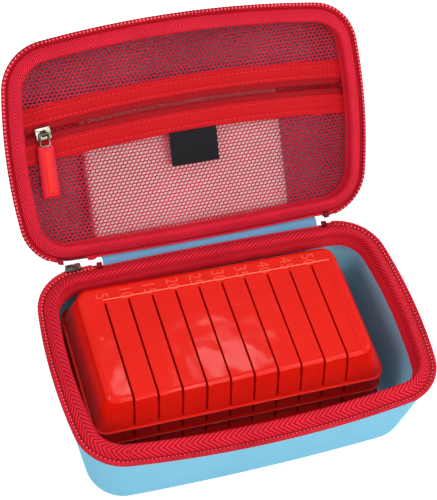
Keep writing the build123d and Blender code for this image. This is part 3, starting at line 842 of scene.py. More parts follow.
SATIN = {"depth": 0.00006, "pitch": 0.0006, "follows": Coordinate.OBJECT, "uneven": 0.5}
RACK_GLOSS = {"rough": 0.08, "depth": 0.000004, "scuffs": 0.05, "wave": 0.00035, "spread": 60.0}
# Settings of the rack's paler copies, which paint highlights on the raised line, numbers and mould marks.
RACK_PAINTED_HIGHLIGHT = {"rough": 0.3, "depth": 0.000004, "gloss": 0.3}
FINISHES: dict[str, Finish] = {
    "shell": Woven("Outer twill", "shell_twill", (154, 220, 244), (112, 186, 218), rough=0.8, depth=0.00014,
                   pitch=0.0010, follows=Coordinate.OBJECT),
    "lining": Woven("Lining satin", "lining_satin", (180, 240, 255), (134, 204, 242), rough=0.38, gloss=0.4, **SATIN),
    # The lid's lining is the base's satin darkened: painted shade of the recess behind the mesh pocket.
    "lid_lining": Woven("Lid lining satin, painted shade", "lining_satin", (164, 186, 206), (104, 122, 148), rough=0.42, gloss=0.3,
                        **SATIN),
    "tape": Herringbone("Base zip tape", "zip_tape", (240, 38, 60), (168, 7, 27), rough=0.75, depth=0.00045,
                        pitch=0.0031, lean=-1.3),
    "lid_tape": Herringbone("Lid zip tape", "zip_tape", (252, 44, 72), (172, 4, 26), rough=0.75, depth=0.0004,
                            pitch=0.0020, shade_line_width=0.0008),
    "coil": Moulded("Zip coil", "zip_coil", (214, 32, 54), (176, 14, 36), rough=0.5, gloss=0.1),
    "lid_coil": Moulded("Lid zip coil", "zip_coil", (200, 18, 38), (164, 8, 26), rough=0.5, gloss=0.1),
    # Dark crimson coil heads: painted shade of the coil's outer edge.
    "heads": Moulded("Zip coil heads, painted shade", "zip_coil", (136, 8, 28), (84, 3, 14), rough=0.45),
    # End stops darkened below the coil's crimson: painted shade of the notch where they sit.
    "stops": Moulded("Zip end stop, painted shade", "zip_coil", (138, 10, 30), (98, 5, 18), rough=0.5),
    "thread": Moulded("Zip thread", "zip_coil", (250, 134, 140), (236, 92, 104), rough=0.6),
    # The hinge strip is the shell's fabric darkened: painted shade over the hinge.
    "hinge": Woven("Hinge fabric, painted shade", "hinge_fabric", (124, 176, 208), (84, 130, 172), rough=0.8, depth=0.00010,
                   pitch=0.0010),
    "mesh": Moulded("Pocket mesh", "pocket_mesh", (204, 38, 60), (176, 18, 42), rough=0.6, depth=0.00001),
    "band": Woven("Pocket band", "pocket_band", (216, 20, 32), (176, 10, 20), depth=0.00010, pitch=0.0009,
                  weave=Effect.PLAIN),
    # The pocket zip's tape is darker than the bands: painted shade in the gaps between the coil's turns.
    "bed": Woven("Pocket zip tape, painted shade", "pocket_band", (176, 14, 28), (140, 6, 16), depth=0.00010, pitch=0.0012,
                 weave=Effect.PLAIN),
    "pocket_coil": Moulded("Pocket zip coil", "zip_coil", (196, 20, 32), (150, 10, 20), rough=0.8, gloss=0.0),
    "stitch": Moulded("Stitch thread", "pocket_band", (234, 60, 70), (220, 42, 54), rough=0.6),
    "label": Woven("Label weave", "label_weave", (30, 28, 33), (8, 8, 12), depth=0.00006, pitch=0.0005,
                   weave=Effect.PLAIN),
    # Nickel whose colour swings between dark and light patches: painted reflections on the sliders and bails.
    "nickel": Moulded("Nickel, painted reflections", "nickel", (156, 150, 138), (52, 48, 42), rough=0.2, metal=1.0, gloss=0.5,
                      wave=0.00025, spread=300.0, patches=120.0),
    "rubber": Moulded("Tab rubber", "tab_rubber", (222, 34, 54), (208, 24, 44), rough=0.4, gloss=0.3),
    "tab_face": Moulded("Tab face", "tab_rubber", (236, 30, 22), (228, 24, 18), rough=0.35, depth=0.00001, gloss=0.2),
    "rack": Moulded("Rack plastic", "rack_plastic", (228, 29, 13), (220, 21, 8), **RACK_GLOSS),
    # Paler red on the raised numbers and mould marks: painted highlight, as they are the rack's own plastic.
    "rack_mark_painted_highlight": Moulded("Rack mark, painted highlight", "rack_plastic", (246, 88, 68), (240, 70, 50), **RACK_PAINTED_HIGHLIGHT),
    # Pale pink on the raised line behind the slots: painted highlight of its edge.
    "rack_painted_highlight_line": Moulded("Rack line, painted highlight", "rack_plastic", (255, 132, 112), (252, 112, 92), **RACK_PAINTED_HIGHLIGHT),
    # The lower racks' plastic is the top rack's plastic darkened: painted shade of the well they stand in.
    "rack_painted_shade": Moulded("Rack plastic, painted shade", "rack_plastic", (192, 18, 10), (178, 12, 6), **RACK_GLOSS),
    "card": Moulded("Coated card", "coated_card", (255, 246, 246), (255, 238, 239), rough=0.45, depth=0.00001,
                    gloss=0.3),
}


class Finishes:
    """All finishes of the case, built once."""

    def __init__(self, effects: Effects) -> None:
        """Build every finish."""
        self.built = {key: finish.build(effects) for key, finish in FINISHES.items()}

    def dress(self, piece: bpy.types.Object, *keys: str) -> bpy.types.Object:
        """Give a piece its finishes.

        Args:
            piece: the piece.
            keys: names of its finishes.

        Returns:
            The same piece.
        """
        piece.data.materials.clear()
        for key in keys:
            piece.data.materials.append(self.built[key])
        "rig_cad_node" not in piece
        return piece


# Shells and linings


@dataclass(frozen=True)
class Tray:
    """Drafted tray with a soft bottom edge, drawn with its closed face at zero.

    Args:
        crest: height of the rim's crest.
        side_inset: inset of the short sides at the closed face.
        long_inset: inset of the long sides at the closed face.
        radius: corner radius at the closed face.
        bow: share of the bows at the closed face.
        edge: radius of the outer bottom edge.
        inner_edge: radius of the lining's bottom edge.
        flange: depth of the in-turned rim below its crest.
        foot_drop: drop from the crest to the foot of the rim.
        foot_inset: inset of the wall at the foot of the rim.
        edge_steps: steps round the bottom edge.
        wall_steps: steps up the wall.
        floor_shares: rows of the closed face, as shares of the way out from its middle.
    """

    crest: float
    side_inset: float
    long_inset: float
    radius: float
    bow: float
    edge: float
    inner_edge: float
    flange: float
    foot_drop: float = 6.1
    foot_inset: float = 2.0
    edge_steps: int = 12
    wall_steps: int = 8
    floor_shares: tuple = (0.03, 0.2, 0.4, 0.6, 0.8, 0.93, 0.99)

    def level(self, outline: Outline, height: float, shrink: float, extra: float = 0.0) -> np.ndarray:
        """Loop at a height, drawn in by the wall and by the turn of the bottom edge."""
        foot = self.crest - self.foot_drop
        share = height / foot
        side = self.side_inset + (self.foot_inset - self.side_inset) * share + shrink + extra
        long = self.long_inset + (self.foot_inset - self.long_inset) * share + shrink + extra
        radius = self.radius + (outline.corner_radius - self.foot_inset - self.radius) * share - shrink - extra
        bow = self.bow + (1.0 - self.bow) * share
        return outline.level(side, long, radius, bow, height)

    def rows(self, outline: Outline, shrink: float, edge: float, top: float, dish: float = 0.0) -> list[np.ndarray]:
        """Rows from near the middle of the closed face, round the bottom edge and up the wall.

        Args:
            outline: outline of the case.
            shrink: distance inside the outer face.
            edge: radius of the bottom edge.
            top: height of the last row.
            dish: rise of the face towards its middle.

        Returns:
            Loops in order.
        """
        foot = self.crest - self.foot_drop
        slope = (self.side_inset + self.long_inset - 2 * self.foot_inset) / 2 / foot
        lean = math.atan(slope)
        reach = edge / math.cos(lean) - edge * slope
        rows = []
        for step in range(self.edge_steps + 1):
            turn = (math.pi / 2 - lean) * step / self.edge_steps
            height = shrink + edge * (1 - math.cos(turn))
            local = (height - shrink) * slope
            extra = reach + local - edge * math.sin(turn)
            rows.append(self.level(outline, height, shrink, extra))
        flat = rows[0]
        middle = flat.mean(axis=0)
        floor = []
        for share in self.floor_shares:
            loop = middle + (flat - middle) * share
            loop[:, 2] = flat[:, 2] + dish * (1 - share**2)
            floor.append(loop)
        start = rows[-1][0, 2]
        rise = (top - start) / self.wall_steps
        wall = [self.level(outline, start + rise * step, shrink) for step in range(1, self.wall_steps + 1)]
        return floor + rows + wall


@dataclass
class Shell:
    """Moulded foam shell with its lining.

    Args:
        seat: where the shell lies.
        tray: its shape.
        outline: outline of the case.
        wall: thickness of the foam.
        lining: thickness of the lining.
        tape: thickness of the tape over the rim.
        opening: inset of the opening inside the tape.
        dish: rise of the closed face towards its middle.
        gap: gap between the foam and the lining.
        lap: distance of the lining's edge below the rim.
        inside_drop: distance of the inner wall's end below the rim.
        swell: height and length of the lining's waves.
        section: inset and drop of each point over the rim.
        turn_drop: drop at which the rim turns down.
        rim_foot: inset of the wall under the rim.
    """

    seat: Seat
    tray: Tray
    outline: Outline
    wall: float = 2.6
    lining: float = 0.7
    tape: float = 0.8
    opening: float = 11.8
    dish: float = 0.5
    gap: float = 0.1
    lap: float = 0.05
    inside_drop: float = 0.3
    swell: tuple[float, float] = (0.22, 47.0)
    section: tuple = ((2.0, -5.75), (3.9, -5.75), (6.5, -3.3), (8.9, -0.9), (10.1, -0.85), (10.8, -1.3))
    turn_drop: float = 2.1
    rim_foot: float = 5.2

    def build_shell(self, name: str) -> bpy.types.Object:
        """Closed shell with its in-turned rim."""
        crest, flange = self.tray.crest, self.tray.flange
        inner = self.opening - self.tape
        edge = self.tray.inner_edge + self.lining
        rows = self.tray.rows(self.outline, 0.0, self.tray.edge, crest - self.tray.foot_drop, self.dish)
        rim = [*self.section, (inner, -self.turn_drop), (inner, -flange), (self.rim_foot, -flange)]
        rows += [self.outline.rim(inset, crest + drop) for inset, drop in rim]
        rows += reversed(self.tray.rows(self.outline, self.wall, edge, crest - flange - self.inside_drop))
        return lofted(name, rows, self.seat, self.outline.lengths(), Form.CUP, 50.0)

    def build_lining(self, name: str) -> bpy.types.Object:
        """Soft lining over the inside, up to the rim's underside."""
        top = self.tray.crest - self.tray.flange
        lengths = self.outline.lengths()[:-1]
        edge = self.tray.inner_edge + self.lining
        outer = self.tray.rows(self.outline, self.wall + self.gap, edge, top - self.lap)
        inner = self.tray.rows(self.outline, self.wall + self.lining, self.tray.inner_edge, top - self.lining)
        middle = inner[0].mean(axis=0)
        for number, row in enumerate(inner):
            swell = ripple(lengths, number * 9.0, *self.swell, number * 0.35)
            away = row[:, :2] - middle[:2]
            away /= np.linalg.norm(away, axis=1)[:, None]
            row[:, :2] -= away * np.clip(swell, 0.0, None)[:, None]
        lip = [self.outline.rim(self.opening - self.tape, top - down) for down in (self.lap, self.lining)]
        rows = outer + lip + list(reversed(inner))
        return lofted(name, rows, self.seat, self.outline.lengths(), Form.CUP, 60.0)

    def build(self, finishes: Finishes, lining_finish: str) -> None:
        """Build and dress the shell and its lining."""
        shell = finishes.dress(self.build_shell(f"{self.seat.body}_shell_twill"), "shell")
        lining = finishes.dress(self.build_lining(f"{self.seat.body}_lining_satin"), lining_finish)
        for piece in (shell, lining):
            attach(piece, self.seat.body)
        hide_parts(f"{self.seat.body}_shell")
        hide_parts(f"{self.seat.body}_lining")
        LOG.info("%s shell: %d faces", self.seat.body, len(shell.data.polygons))


# Main zip


@dataclass
class RimZip:
    """Zip tape over a rim, with the coil along its outer edge.

    Args:
        seat: where the zip lies.
        tray: the tray whose rim it covers.
        outline: outline of the case.
        name: start of its pieces' names.
        finish: finish of the tape.
        tape_thickness: thickness of the tape.
        hinge_left: X at which the tape narrows along the hinge.
        hinge_right: X at which it is wide again.
        hinge_inset: least inset of the tape along the hinge.
        hinge_gap: distance from there to the coil's ends.
        notch: range of X where the tape is cut away for the slider.
        notch_inset: least inset of the tape in the notch.
        notch_lap: how far the dark strip in the notch passes it.
        setback: further distance of the coil's left end.
        coil_pitch: distance between coil heads.
        shelf: drop from the crest to the foot of the coil.
        skirt: drop from the crest to the tape's inner edge.
        skirt_top: drop at which the skirt's straight part starts.
        lean: inset of the skirt's edge past its top.
        coil_finish: finish of the rolled edge.
        roll: inset, reach and lift of the rolled edge over the coil.
        roll_steps: points round the rolled edge.
        stitch: size of a stitch.
        stitch_row: inset of the stitches and lift above the shelf.
        head: size of a coil head.
        head_row: inset of the heads and lift above the shelf.
        wave: height and length of the tape's waves over the rim.
        fold: height and length of its waves down the inner face.
        still: insets between which the waves grow from nothing to full.
        section: inset and drop of each point over the rim.
    """

    seat: Seat
    tray: Tray
    outline: Outline
    name: str
    finish: str = "tape"
    tape_thickness: float = 0.8
    hinge_left: float = -66.0
    hinge_right: float = 78.0
    hinge_inset: float = 1.6
    hinge_gap: float = 3.0
    notch: tuple[float, float] | None = None
    notch_inset: float = 3.6
    notch_lap: float = 2.0
    setback: float = 0.0
    coil_pitch: float = 2.2
    shelf: float = -4.9
    skirt: float = 6.1
    skirt_top: float = 4.0
    lean: float = 0.0
    coil_finish: str = "coil"
    roll: tuple[float, float, float] = (1.35, 0.95, 0.72)
    roll_steps: int = 12
    stitch: tuple[float, float, float] = (1.2, 1.1, 0.9)
    stitch_row: tuple[float, float] = (2.55, 0.30)
    head: tuple[float, float, float] = (1.5, 1.7, 1.2)
    head_row: tuple[float, float] = (0.95, 0.62)
    wave: tuple[float, float] = (0.16, 17.0)
    fold: tuple[float, float] = (0.22, 31.0)
    still: tuple[float, float] = (3.4, 6.4)
    section: tuple = (
        (0.55, -5.0), (1.6, -4.93), (2.9, -4.98), (3.25, -5.12), (3.6, -4.72), (4.4, -3.95), (5.6, -2.75),
        (6.9, -1.6), (8.1, -0.75), (9.2, -0.2), (10.1, 0.0), (10.8, -0.18), (11.35, -0.75), (11.7, -1.6),
        (11.8, -2.6),
    )

    def limits(self) -> np.ndarray:
        """Least inset of the tape at each point of the rim: it is narrower along the hinge."""
        loop = self.outline.rim(0.0, 0.0)
        least = np.zeros(len(loop))
        back = loop[:, 1] > self.outline.half_depth / 2
        hinge = back & (loop[:, 0] > self.hinge_left) & (loop[:, 0] < self.hinge_right)
        least[hinge] = self.hinge_inset
        if self.notch:
            cut = back & (loop[:, 0] > self.notch[0]) & (loop[:, 0] < self.notch[1])
            least[cut] = self.notch_inset
        return least

    def build_tape(self) -> bpy.types.Object:
        """Tape from the coil over the crest and down the rim's inner face."""
        least = self.limits()
        lengths = self.outline.lengths()[:-1]
        crest = self.tray.crest
        depth = max(self.tray.flange, self.skirt) - self.skirt_top
        edge = self.section[-1][0]
        face = [(edge + self.lean * share, -self.skirt_top - depth * share) for share in (0.0, 0.25, 0.5, 0.75, 1.0)]
        top = list(self.section) + face
        calm, full = self.still
        rows = []
        for number, (inset, drop) in enumerate(top):
            free = min(1.0, max(0.0, (inset - calm) / (full - calm)))
            wave = ripple(lengths, inset, self.wave[0] * free, self.wave[1], 0.6)
            fold = ripple(lengths, drop, self.fold[0] * free, self.fold[1], 1.9) if number > 10 else 0.0
            rows.append(self.outline.rim(np.maximum(inset - np.abs(fold), least), crest + drop - np.abs(wave)))
        under = []
        for number, (inset, drop) in enumerate(top):
            ahead = top[min(number + 1, len(top) - 1)]
            behind = top[max(number - 1, 0)]
            run, rise = ahead[0] - behind[0], ahead[1] - behind[1]
            size = math.hypot(run, rise)
            down = (inset + rise / size * self.tape_thickness, drop - run / size * self.tape_thickness)
            under.append(self.outline.rim(np.maximum(down[0], least + 0.05), crest + down[1]))
        rows += list(reversed(under))
        return lofted(f"{self.name}_zip_tape_woven", rows, self.seat, self.outline.lengths(), Form.RING, 70.0)

    def span(self) -> tuple[float, float]:
        """Running lengths at which the coil starts and ends."""
        gap = self.hinge_gap
        start = self.outline.back_length(self.hinge_left - self.setback - gap)
        end = self.outline.back_length(self.hinge_right + gap + (gap if self.setback else 0.0))
        return start, end + self.outline.lengths()[-1]

    def build_band(self) -> bpy.types.Object:
        """Smooth edge of the tape that is rolled over the coil."""
        start, end = self.span()
        core, unit, along = self.outline.run(start, end, 2.0)
        middle, wide, lift = self.roll
        rows = []
        for angle in np.arange(self.roll_steps) * 2 * math.pi / self.roll_steps:
            reach = self.outline.corner_radius - middle - math.cos(angle) * wide
            rows.append(raised(core + unit * reach, self.tray.crest + self.shelf + lift + math.sin(angle) * lift))
        return lofted(f"{self.name}_zip_band", rows, self.seat, along)

    def beads(self, name: str, inset: float, lift: float, bead: tuple, stagger: float) -> bpy.types.Object:
        """Row of small beads along the coil.

        Args:
            name: end of the piece's name.
            inset: inset of the row.
            lift: height of the row above the shelf.
            bead: points and faces of one bead.
            stagger: shift of the row along the rim.

        Returns:
            The row as one piece.
        """
        start, end = self.span()
        core, unit, _ = self.outline.run(start + stagger, end + stagger - self.coil_pitch, self.coil_pitch)
        reach = self.outline.corner_radius - inset
        height = self.tray.crest + self.shelf + lift
        places = []
        for (x, y), (across, forward) in zip(core + unit * reach, unit):
            places.append(turned(x, y, height, math.atan2(forward, across)))
        return scattered(f"{self.name}_zip_{name}", bead, places, self.seat)

    def build_shaded_notch_strip(self) -> bpy.types.Object:
        """Narrow dark strip over the shell's edge where the tape is cut away for the slider: it stands for the tape's
        coil edge there, and its dark colour is painted shade.
        """
        crest = self.tray.crest
        loop = self.outline.rim(0.0, 0.0)
        lengths = self.outline.lengths()[:-1]
        left, right = self.notch[0] - self.notch_lap, self.notch[1] + self.notch_lap
        cut = (loop[:, 1] > 0) & (loop[:, 0] > left) & (loop[:, 0] < right)
        order = np.nonzero(cut)[0]
        order = order[np.argsort(lengths[order])]
        section = [(3.75, -4.6), (3.3, -5.4), (1.85, -5.6), (1.85, -8.2), (2.1, -8.2), (2.1, -5.75), (3.85, -5.75)]
        rows = [self.outline.rim(inset, crest + drop)[order] for inset, drop in section]
        return lofted(f"{self.name}_zip_shaded_notch_strip", rows, self.seat, lengths[order])

    def build(self, finishes: Finishes) -> None:
        """Build and dress the tape, the rolled edge, the stitches and the coil's heads."""
        if self.notch:
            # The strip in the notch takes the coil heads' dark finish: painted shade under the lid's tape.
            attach(finishes.dress(self.build_shaded_notch_strip(), "heads"), self.seat.body)
        tape = finishes.dress(self.build_tape(), self.finish)
        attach(tape, self.seat.body)
        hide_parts(f"{self.name}_zip_tape")
        band = finishes.dress(self.build_band(), self.coil_finish)
        stitches = finishes.dress(self.beads("stitches", *self.stitch_row, pill(*self.stitch), 0.0), "thread")
        heads = self.beads("coil_heads", *self.head_row, pill(*self.head), self.coil_pitch / 2)
        # The heads' dark crimson is painted shade along the coil's outer edge.
        finishes.dress(heads, "heads")
        for piece in (band, stitches, heads):
            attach(piece, self.seat.body)
        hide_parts(f"{self.name}_zip_coil")
        LOG.info("%s zip: %d faces in its tape", self.name, len(tape.data.polygons))


# Pocket


@dataclass
class Pocket:
    """Mesh pocket across the lid, with its bowed zip between two bands and a blank label.

    Args:
        seat: the lid's seat.
        tray: the lid's tray.
        outline: outline of the case.
        panel_top: height of the pocket's face over the lid's closed face.
        shrink: distance of the panel's edge inside the tray's outer face.
        bow_radius: radius of the zip's bow.
        bow_x: X of the bow's middle.
        zip_y: Y of the zip at the bow's middle.
        band_upper: offset of the upper band's far edge from the zip.
        band_lower: offset of the lower band's far edge.
        zip_zone: offset of both bands' near edges.
        bed: offset at which the zip's tape starts, and how far it runs under the bands.
        band_thickness: thickness of a band.
        strip_points: points along a strip.
        wave: height and length of a strip's waves.
        stitch: size of a stitch.
        stitch_pitch: distance between stitches.
        seams: distance of the stitches from a band's near and far edge.
        coil_end: half length of the coil.
        coil_pitch: distance between the coil's turns.
        coil_turn: size of a turn.
        coil_lean: angle of a turn across the zip, in radians.
        coil_sink: depth of the coil below the pocket's face.
        label_size: width, height and thickness of the label.
        label_x: X of the label's middle.
        label_lap: how far the label runs under the band.
        label_fold: width of its folded ends.
        label_section: share of the height and level of each row of the label.
        cell: distance between the mesh's holes.
        row_share: distance between rows of holes, as a share of that.
        hole: width and height of a hole.
        slant: turn of the holes, in radians.
        opened: growth of the holes where the cards press the mesh.
        pressed: half width and Y range of that patch.
        pressed_x: X of its middle.
        knit: half thickness of the mesh at its threads.
        mesh_sink: depth of the mesh below the pocket's face.
        mesh_wave: height and length of the mesh's waves.
        mesh_lap: how far the mesh runs under the bands.
        mesh_ends: offsets past the panel's far and near edges, where the mesh ends at the latest.
    """

    seat: Seat
    tray: Tray
    outline: Outline
    panel_top: float = 20.6
    shrink: float = 3.6
    bow_radius: float = 905.0
    bow_x: float = 6.0
    zip_y: float = -15.4
    band_upper: float = 15.7
    band_lower: float = 16.9
    zip_zone: float = 4.85
    bed: float = 1.2
    band_thickness: float = 1.3
    strip_points: int = 191
    wave: tuple[float, float] = (0.10, 23.0)
    stitch: tuple[float, float, float] = (2.1, 0.5, 0.4)
    stitch_pitch: float = 2.9
    seams: tuple[float, float] = (2.0, 3.1)
    coil_end: float = 97.4
    coil_pitch: float = 1.5
    coil_turn: tuple[float, float, float] = (0.78, 3.5, 1.25)
    coil_lean: float = -0.3
    coil_sink: float = 0.2
    label_size: tuple[float, float, float] = (29.0, 19.6, 0.6)
    label_x: float = 2.0
    label_lap: float = 0.6
    label_fold: float = 2.4
    label_section: tuple = ((0.0, 0.0), (0.0, 1.0), (0.04, 1.15), (0.5, 1.1), (0.96, 1.15), (1.0, 1.0), (1.0, 0.0))
    cell: float = 2.6
    row_share: float = 0.78
    hole: tuple[float, float] = (1.82, 1.22)
    slant: float = -0.3
    opened: float = 1.27
    pressed: tuple[float, float, float] = (60.0, -30.0, 56.0)
    pressed_x: float = -2.0
    knit: float = 0.36
    mesh_sink: float = 0.45
    mesh_wave: tuple[float, float] = (0.35, 61.0)
    mesh_lap: float = 0.9
    mesh_ends: tuple[float, float] = (60.0, -90.0)

    def line(self, x: np.ndarray, offset: float) -> np.ndarray:
        """Y of the line at an offset from the zip, positive towards the lid's far edge."""
        reach = self.bow_radius + offset
        return self.zip_y + self.bow_radius - np.sqrt(reach**2 - (x - self.bow_x) ** 2)

    def half_width(self, y: np.ndarray, margin: float = 0.0) -> np.ndarray:
        """Half of the panel's width at a Y."""
        loop = self.tray.level(self.outline, self.panel_top, self.shrink + margin)
        right = loop[loop[:, 0] > 0]
        right = right[np.argsort(right[:, 1])]
        return np.interp(y, right[:, 1], right[:, 0], left=0.0, right=0.0)

    def across(self, offset: float, count: int, end: float | None = None) -> np.ndarray:
        """Points of a bowed line from one side of the panel to the other."""
        x = np.linspace(-1.0, 1.0, count) * (end or self.outline.half_width)
        if end is None:
            for _ in range(4):
                reach = self.half_width(self.line(x, offset))
                x = np.linspace(-1.0, 1.0, count) * reach
        return np.column_stack([x, self.line(x, offset)])

    def strip(self, name: str, profile: list[tuple[float, float]], end: float | None = None) -> bpy.types.Object:
        """Strip across the pocket.

        Args:
            name: name of the piece.
            profile: offsets from the zip with drops below the panel's face, as a closed loop.
            end: half length, or None to reach the panel's edges.

        Returns:
            The strip.
        """
        rows = []
        for offset, drop in profile:
            line = self.across(offset, self.strip_points, end)
            wave = ripple(line[:, 0], offset, *self.wave, offset)
            rows.append(raised(line, self.panel_top - drop + wave))
        along = rows[0][:, 0]
        return lofted(name, rows, self.seat, along, sharp=60.0)

    def band(self, name: str, near: float, far: float) -> bpy.types.Object:
        """Folded band with two grooves under its stitches."""
        low = self.band_thickness
        turn = 1.0 if far > near else -1.0
        width = abs(far - near)
        shape = [(0.15, low), (0.0, 0.7), (0.12, 0.2), (0.6, 0.05), (1.7, 0.02), (2.0, 0.26), (2.3, 0.02),
                 (width / 2, -0.08), (width - 3.4, 0.02), (width - 3.1, 0.26), (width - 2.8, 0.02),
                 (width - 0.6, 0.08), (width - 0.1, 0.3), (width, 0.8), (width - 0.2, low)]
        return self.strip(name, [(near + turn * across, drop) for across, drop in shape])

    def stitches(self, name: str, offsets: list[float]) -> bpy.types.Object:
        """Rows of stitches along bowed lines."""
        bead, pitch = pill(*self.stitch, 6, 3), self.stitch_pitch
        places = []
        for offset in offsets:
            line = self.across(offset, 2)
            count = int((line[1, 0] - line[0, 0]) / pitch)
            x = line[0, 0] + 1.5 + pitch * np.arange(count) + (offset % 1.0)
            y = self.line(x, offset)
            slope = np.arctan2(np.gradient(y), np.gradient(x))
            places += [turned(a, b, self.panel_top + 0.02, c) for a, b, c in zip(x, y, slope)]
        return scattered(name, bead, places, self.seat)

    def coil(self, name: str) -> bpy.types.Object:
        """Two interlocking rows of the coil's turns."""
        x = np.arange(-self.coil_end, self.coil_end, self.coil_pitch)
        height = self.panel_top - self.coil_sink
        places = [turned(a, b, height, self.coil_lean) for a, b in zip(x, self.line(x, 0.0))]
        return scattered(name, pill(*self.coil_turn), places, self.seat)

    def holes(self, name: str, near: float, far: float) -> bpy.types.Object:
        """Knitted mesh with staggered round holes between two offsets from the zip.

        Args:
            name: name of the piece.
            near: offset at which the mesh starts.
            far: offset at which it ends.

        Returns:
            The mesh.
        """
        pitch, rise = self.cell, self.cell * self.row_share
        shape = [(-0.5, -0.32), (0.0, -0.62), (0.5, -0.32), (0.5, 0.32), (0.0, 0.62), (-0.5, 0.32)]
        corners = np.array(shape) * (pitch, rise * 2 / 1.88)
        low, high = max(near, far), min(near, far)
        reach = math.ceil(self.outline.half_width / pitch) + 1
        centres = []
        first, last = (self.line(np.array([0.0]), offset)[0] for offset in (low, high))
        for row in range(math.floor((first - 6) / rise), math.ceil((last + 6) / rise) + 1):
            x = (np.arange(-reach, reach + 1) + 0.5 * (row % 2)) * pitch
            y = np.full(len(x), row * rise)
            inside = (y < self.line(x, high)) & (y > self.line(x, low))
            inside &= np.abs(x) < self.half_width(y, 1.5) - 1.0
            centres.append(np.column_stack([x, y])[inside])
        centres = np.concatenate(centres)
        keys: dict[tuple[int, int], int] = {}
        points: list[tuple[float, float, float]] = []
        faces = []
        ring = circle(12, math.pi / 12) * np.array(self.hole) / 2
        cosine, sine = math.cos(self.slant), math.sin(self.slant)
        ring = ring @ np.array([[cosine, sine], [-sine, cosine]])
        span, near_edge, far_edge = self.pressed
        for centre in centres:
            wide = abs(centre[0] - self.pressed_x) < span and near_edge < centre[1] < far_edge
            border = []
            for corner in corners + centre:
                key = (round(corner[0] * 50), round(corner[1] * 50))
                if key not in keys:
                    keys[key] = len(points)
                    points += [(*corner, self.knit), (*corner, -self.knit)]
                border.append(keys[key])
            start = len(points)
            points += [(*place, 0.0) for place in ring * (self.opened if wide else 1.0) + centre]
            for step in range(6):
                outer = border[(step + 3) % 6]
                following = border[(step + 4) % 6]
                a, b = start + (2 * step) % 12, start + (2 * step + 1) % 12
                c = start + (2 * step + 2) % 12
                faces += [(outer, a, b), (outer, b, following), (following, b, c)]
                faces += [(outer + 1, b, a), (outer + 1, following + 1, b), (following + 1, c, b)]
        cloud = np.array(points)
        wave = ripple(cloud[:, 0], 0.0, *self.mesh_wave) * np.cos(cloud[:, 1] / 15.0)
        cloud[:, 2] += self.panel_top - self.mesh_sink + wave
        piece = add_mesh(name, self.seat.place(cloud), faces)
        tidy_normals(piece, 180.0)
        return piece

    def label(self, name: str) -> bpy.types.Object:
        """Blank woven label with folded ends, sewn under the lower band."""
        width, height, thickness = self.label_size
        top = self.zip_y + self.band_lower
        across = np.linspace(-width / 2, width / 2, 33)
        lift = 0.175 * np.cos(across / width * math.pi * 2.0)
        fold = np.where(np.abs(np.abs(across) - width / 2 + self.label_fold) < 0.35, -0.12, 0.0)
        rows = []
        for share, level in self.label_section:
            y = np.full(len(across), top - self.label_lap + (height + self.label_lap) * share)
            bend = lift * share + fold * (level > 0.5)
            z = self.panel_top + thickness * level + 0.05 + bend
            rows.append(np.column_stack([across + self.label_x, y, z]))
        return lofted(name, rows, self.seat, across)

    @staticmethod
    def flat(piece: bpy.types.Object) -> tuple[float, float]:
        """Width and length, in metres, of a piece that lies flat along the lid."""
        across, deep, high = np.ptp(vertices(piece), axis=0)
        size = float(across), float(np.hypot(deep, high))
        LOG.info("%s: flat size %.4f by %.4f m", piece.name, *size)
        return size

    def build(self, finishes: Finishes) -> None:
        """Build and dress the pocket's pieces."""
        zone, low = self.zip_zone, self.band_thickness
        start, end = self.bed, zone + self.bed
        bed = [(start, 0.75), (end, 0.62), (end, low), (start, low)]
        bed_lower = [(-across, drop) for across, drop in bed]
        near, far = self.seams
        seams = [zone + near, self.band_upper - far, -zone - near, -self.band_lower + far]
        mesh_from, mesh_to = self.band_upper - self.mesh_lap, self.mesh_ends[0]
        lower_from, lower_to = -self.band_lower + self.mesh_lap, self.mesh_ends[1]
        built = [
            ("pocket_band_upper", "band", self.band("pocket_band_upper_sewn", zone, self.band_upper)),
            ("pocket_band_lower", "band", self.band("pocket_band_lower_sewn", -zone, -self.band_lower)),
            # Dark tape under the coil: painted shade between its turns.
            ("pocket_zip_tape_upper", "bed", self.strip("pocket_zip_tape_upper_sewn", bed)),
            ("pocket_zip_tape_lower", "bed", self.strip("pocket_zip_tape_lower_sewn", bed_lower)),
            ("pocket_zip_coil", "pocket_coil", self.coil("pocket_zip_coil_turns")),
            (None, "stitch", self.stitches("pocket_band_stitches", seams)),
            ("pocket_mesh_upper", "mesh", self.holes("pocket_mesh_upper_knit", mesh_from, mesh_to)),
            ("pocket_mesh_lower", "mesh", self.holes("pocket_mesh_lower_knit", lower_from, lower_to)),
            ("pocket_label", "label", self.label("pocket_label_woven")),
        ]
        for node, finish, piece in built:
            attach(finishes.dress(piece, finish), self.seat.body)
            if node:
                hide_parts(node)
        mesh_upper, mesh_lower, label = (piece for _, _, piece in built[-3:])
        for piece in (mesh_upper, mesh_lower):
            self.flat(piece)
        self.flat(label)
        LOG.info("pocket: %d faces in its upper mesh", len(mesh_upper.data.polygons))


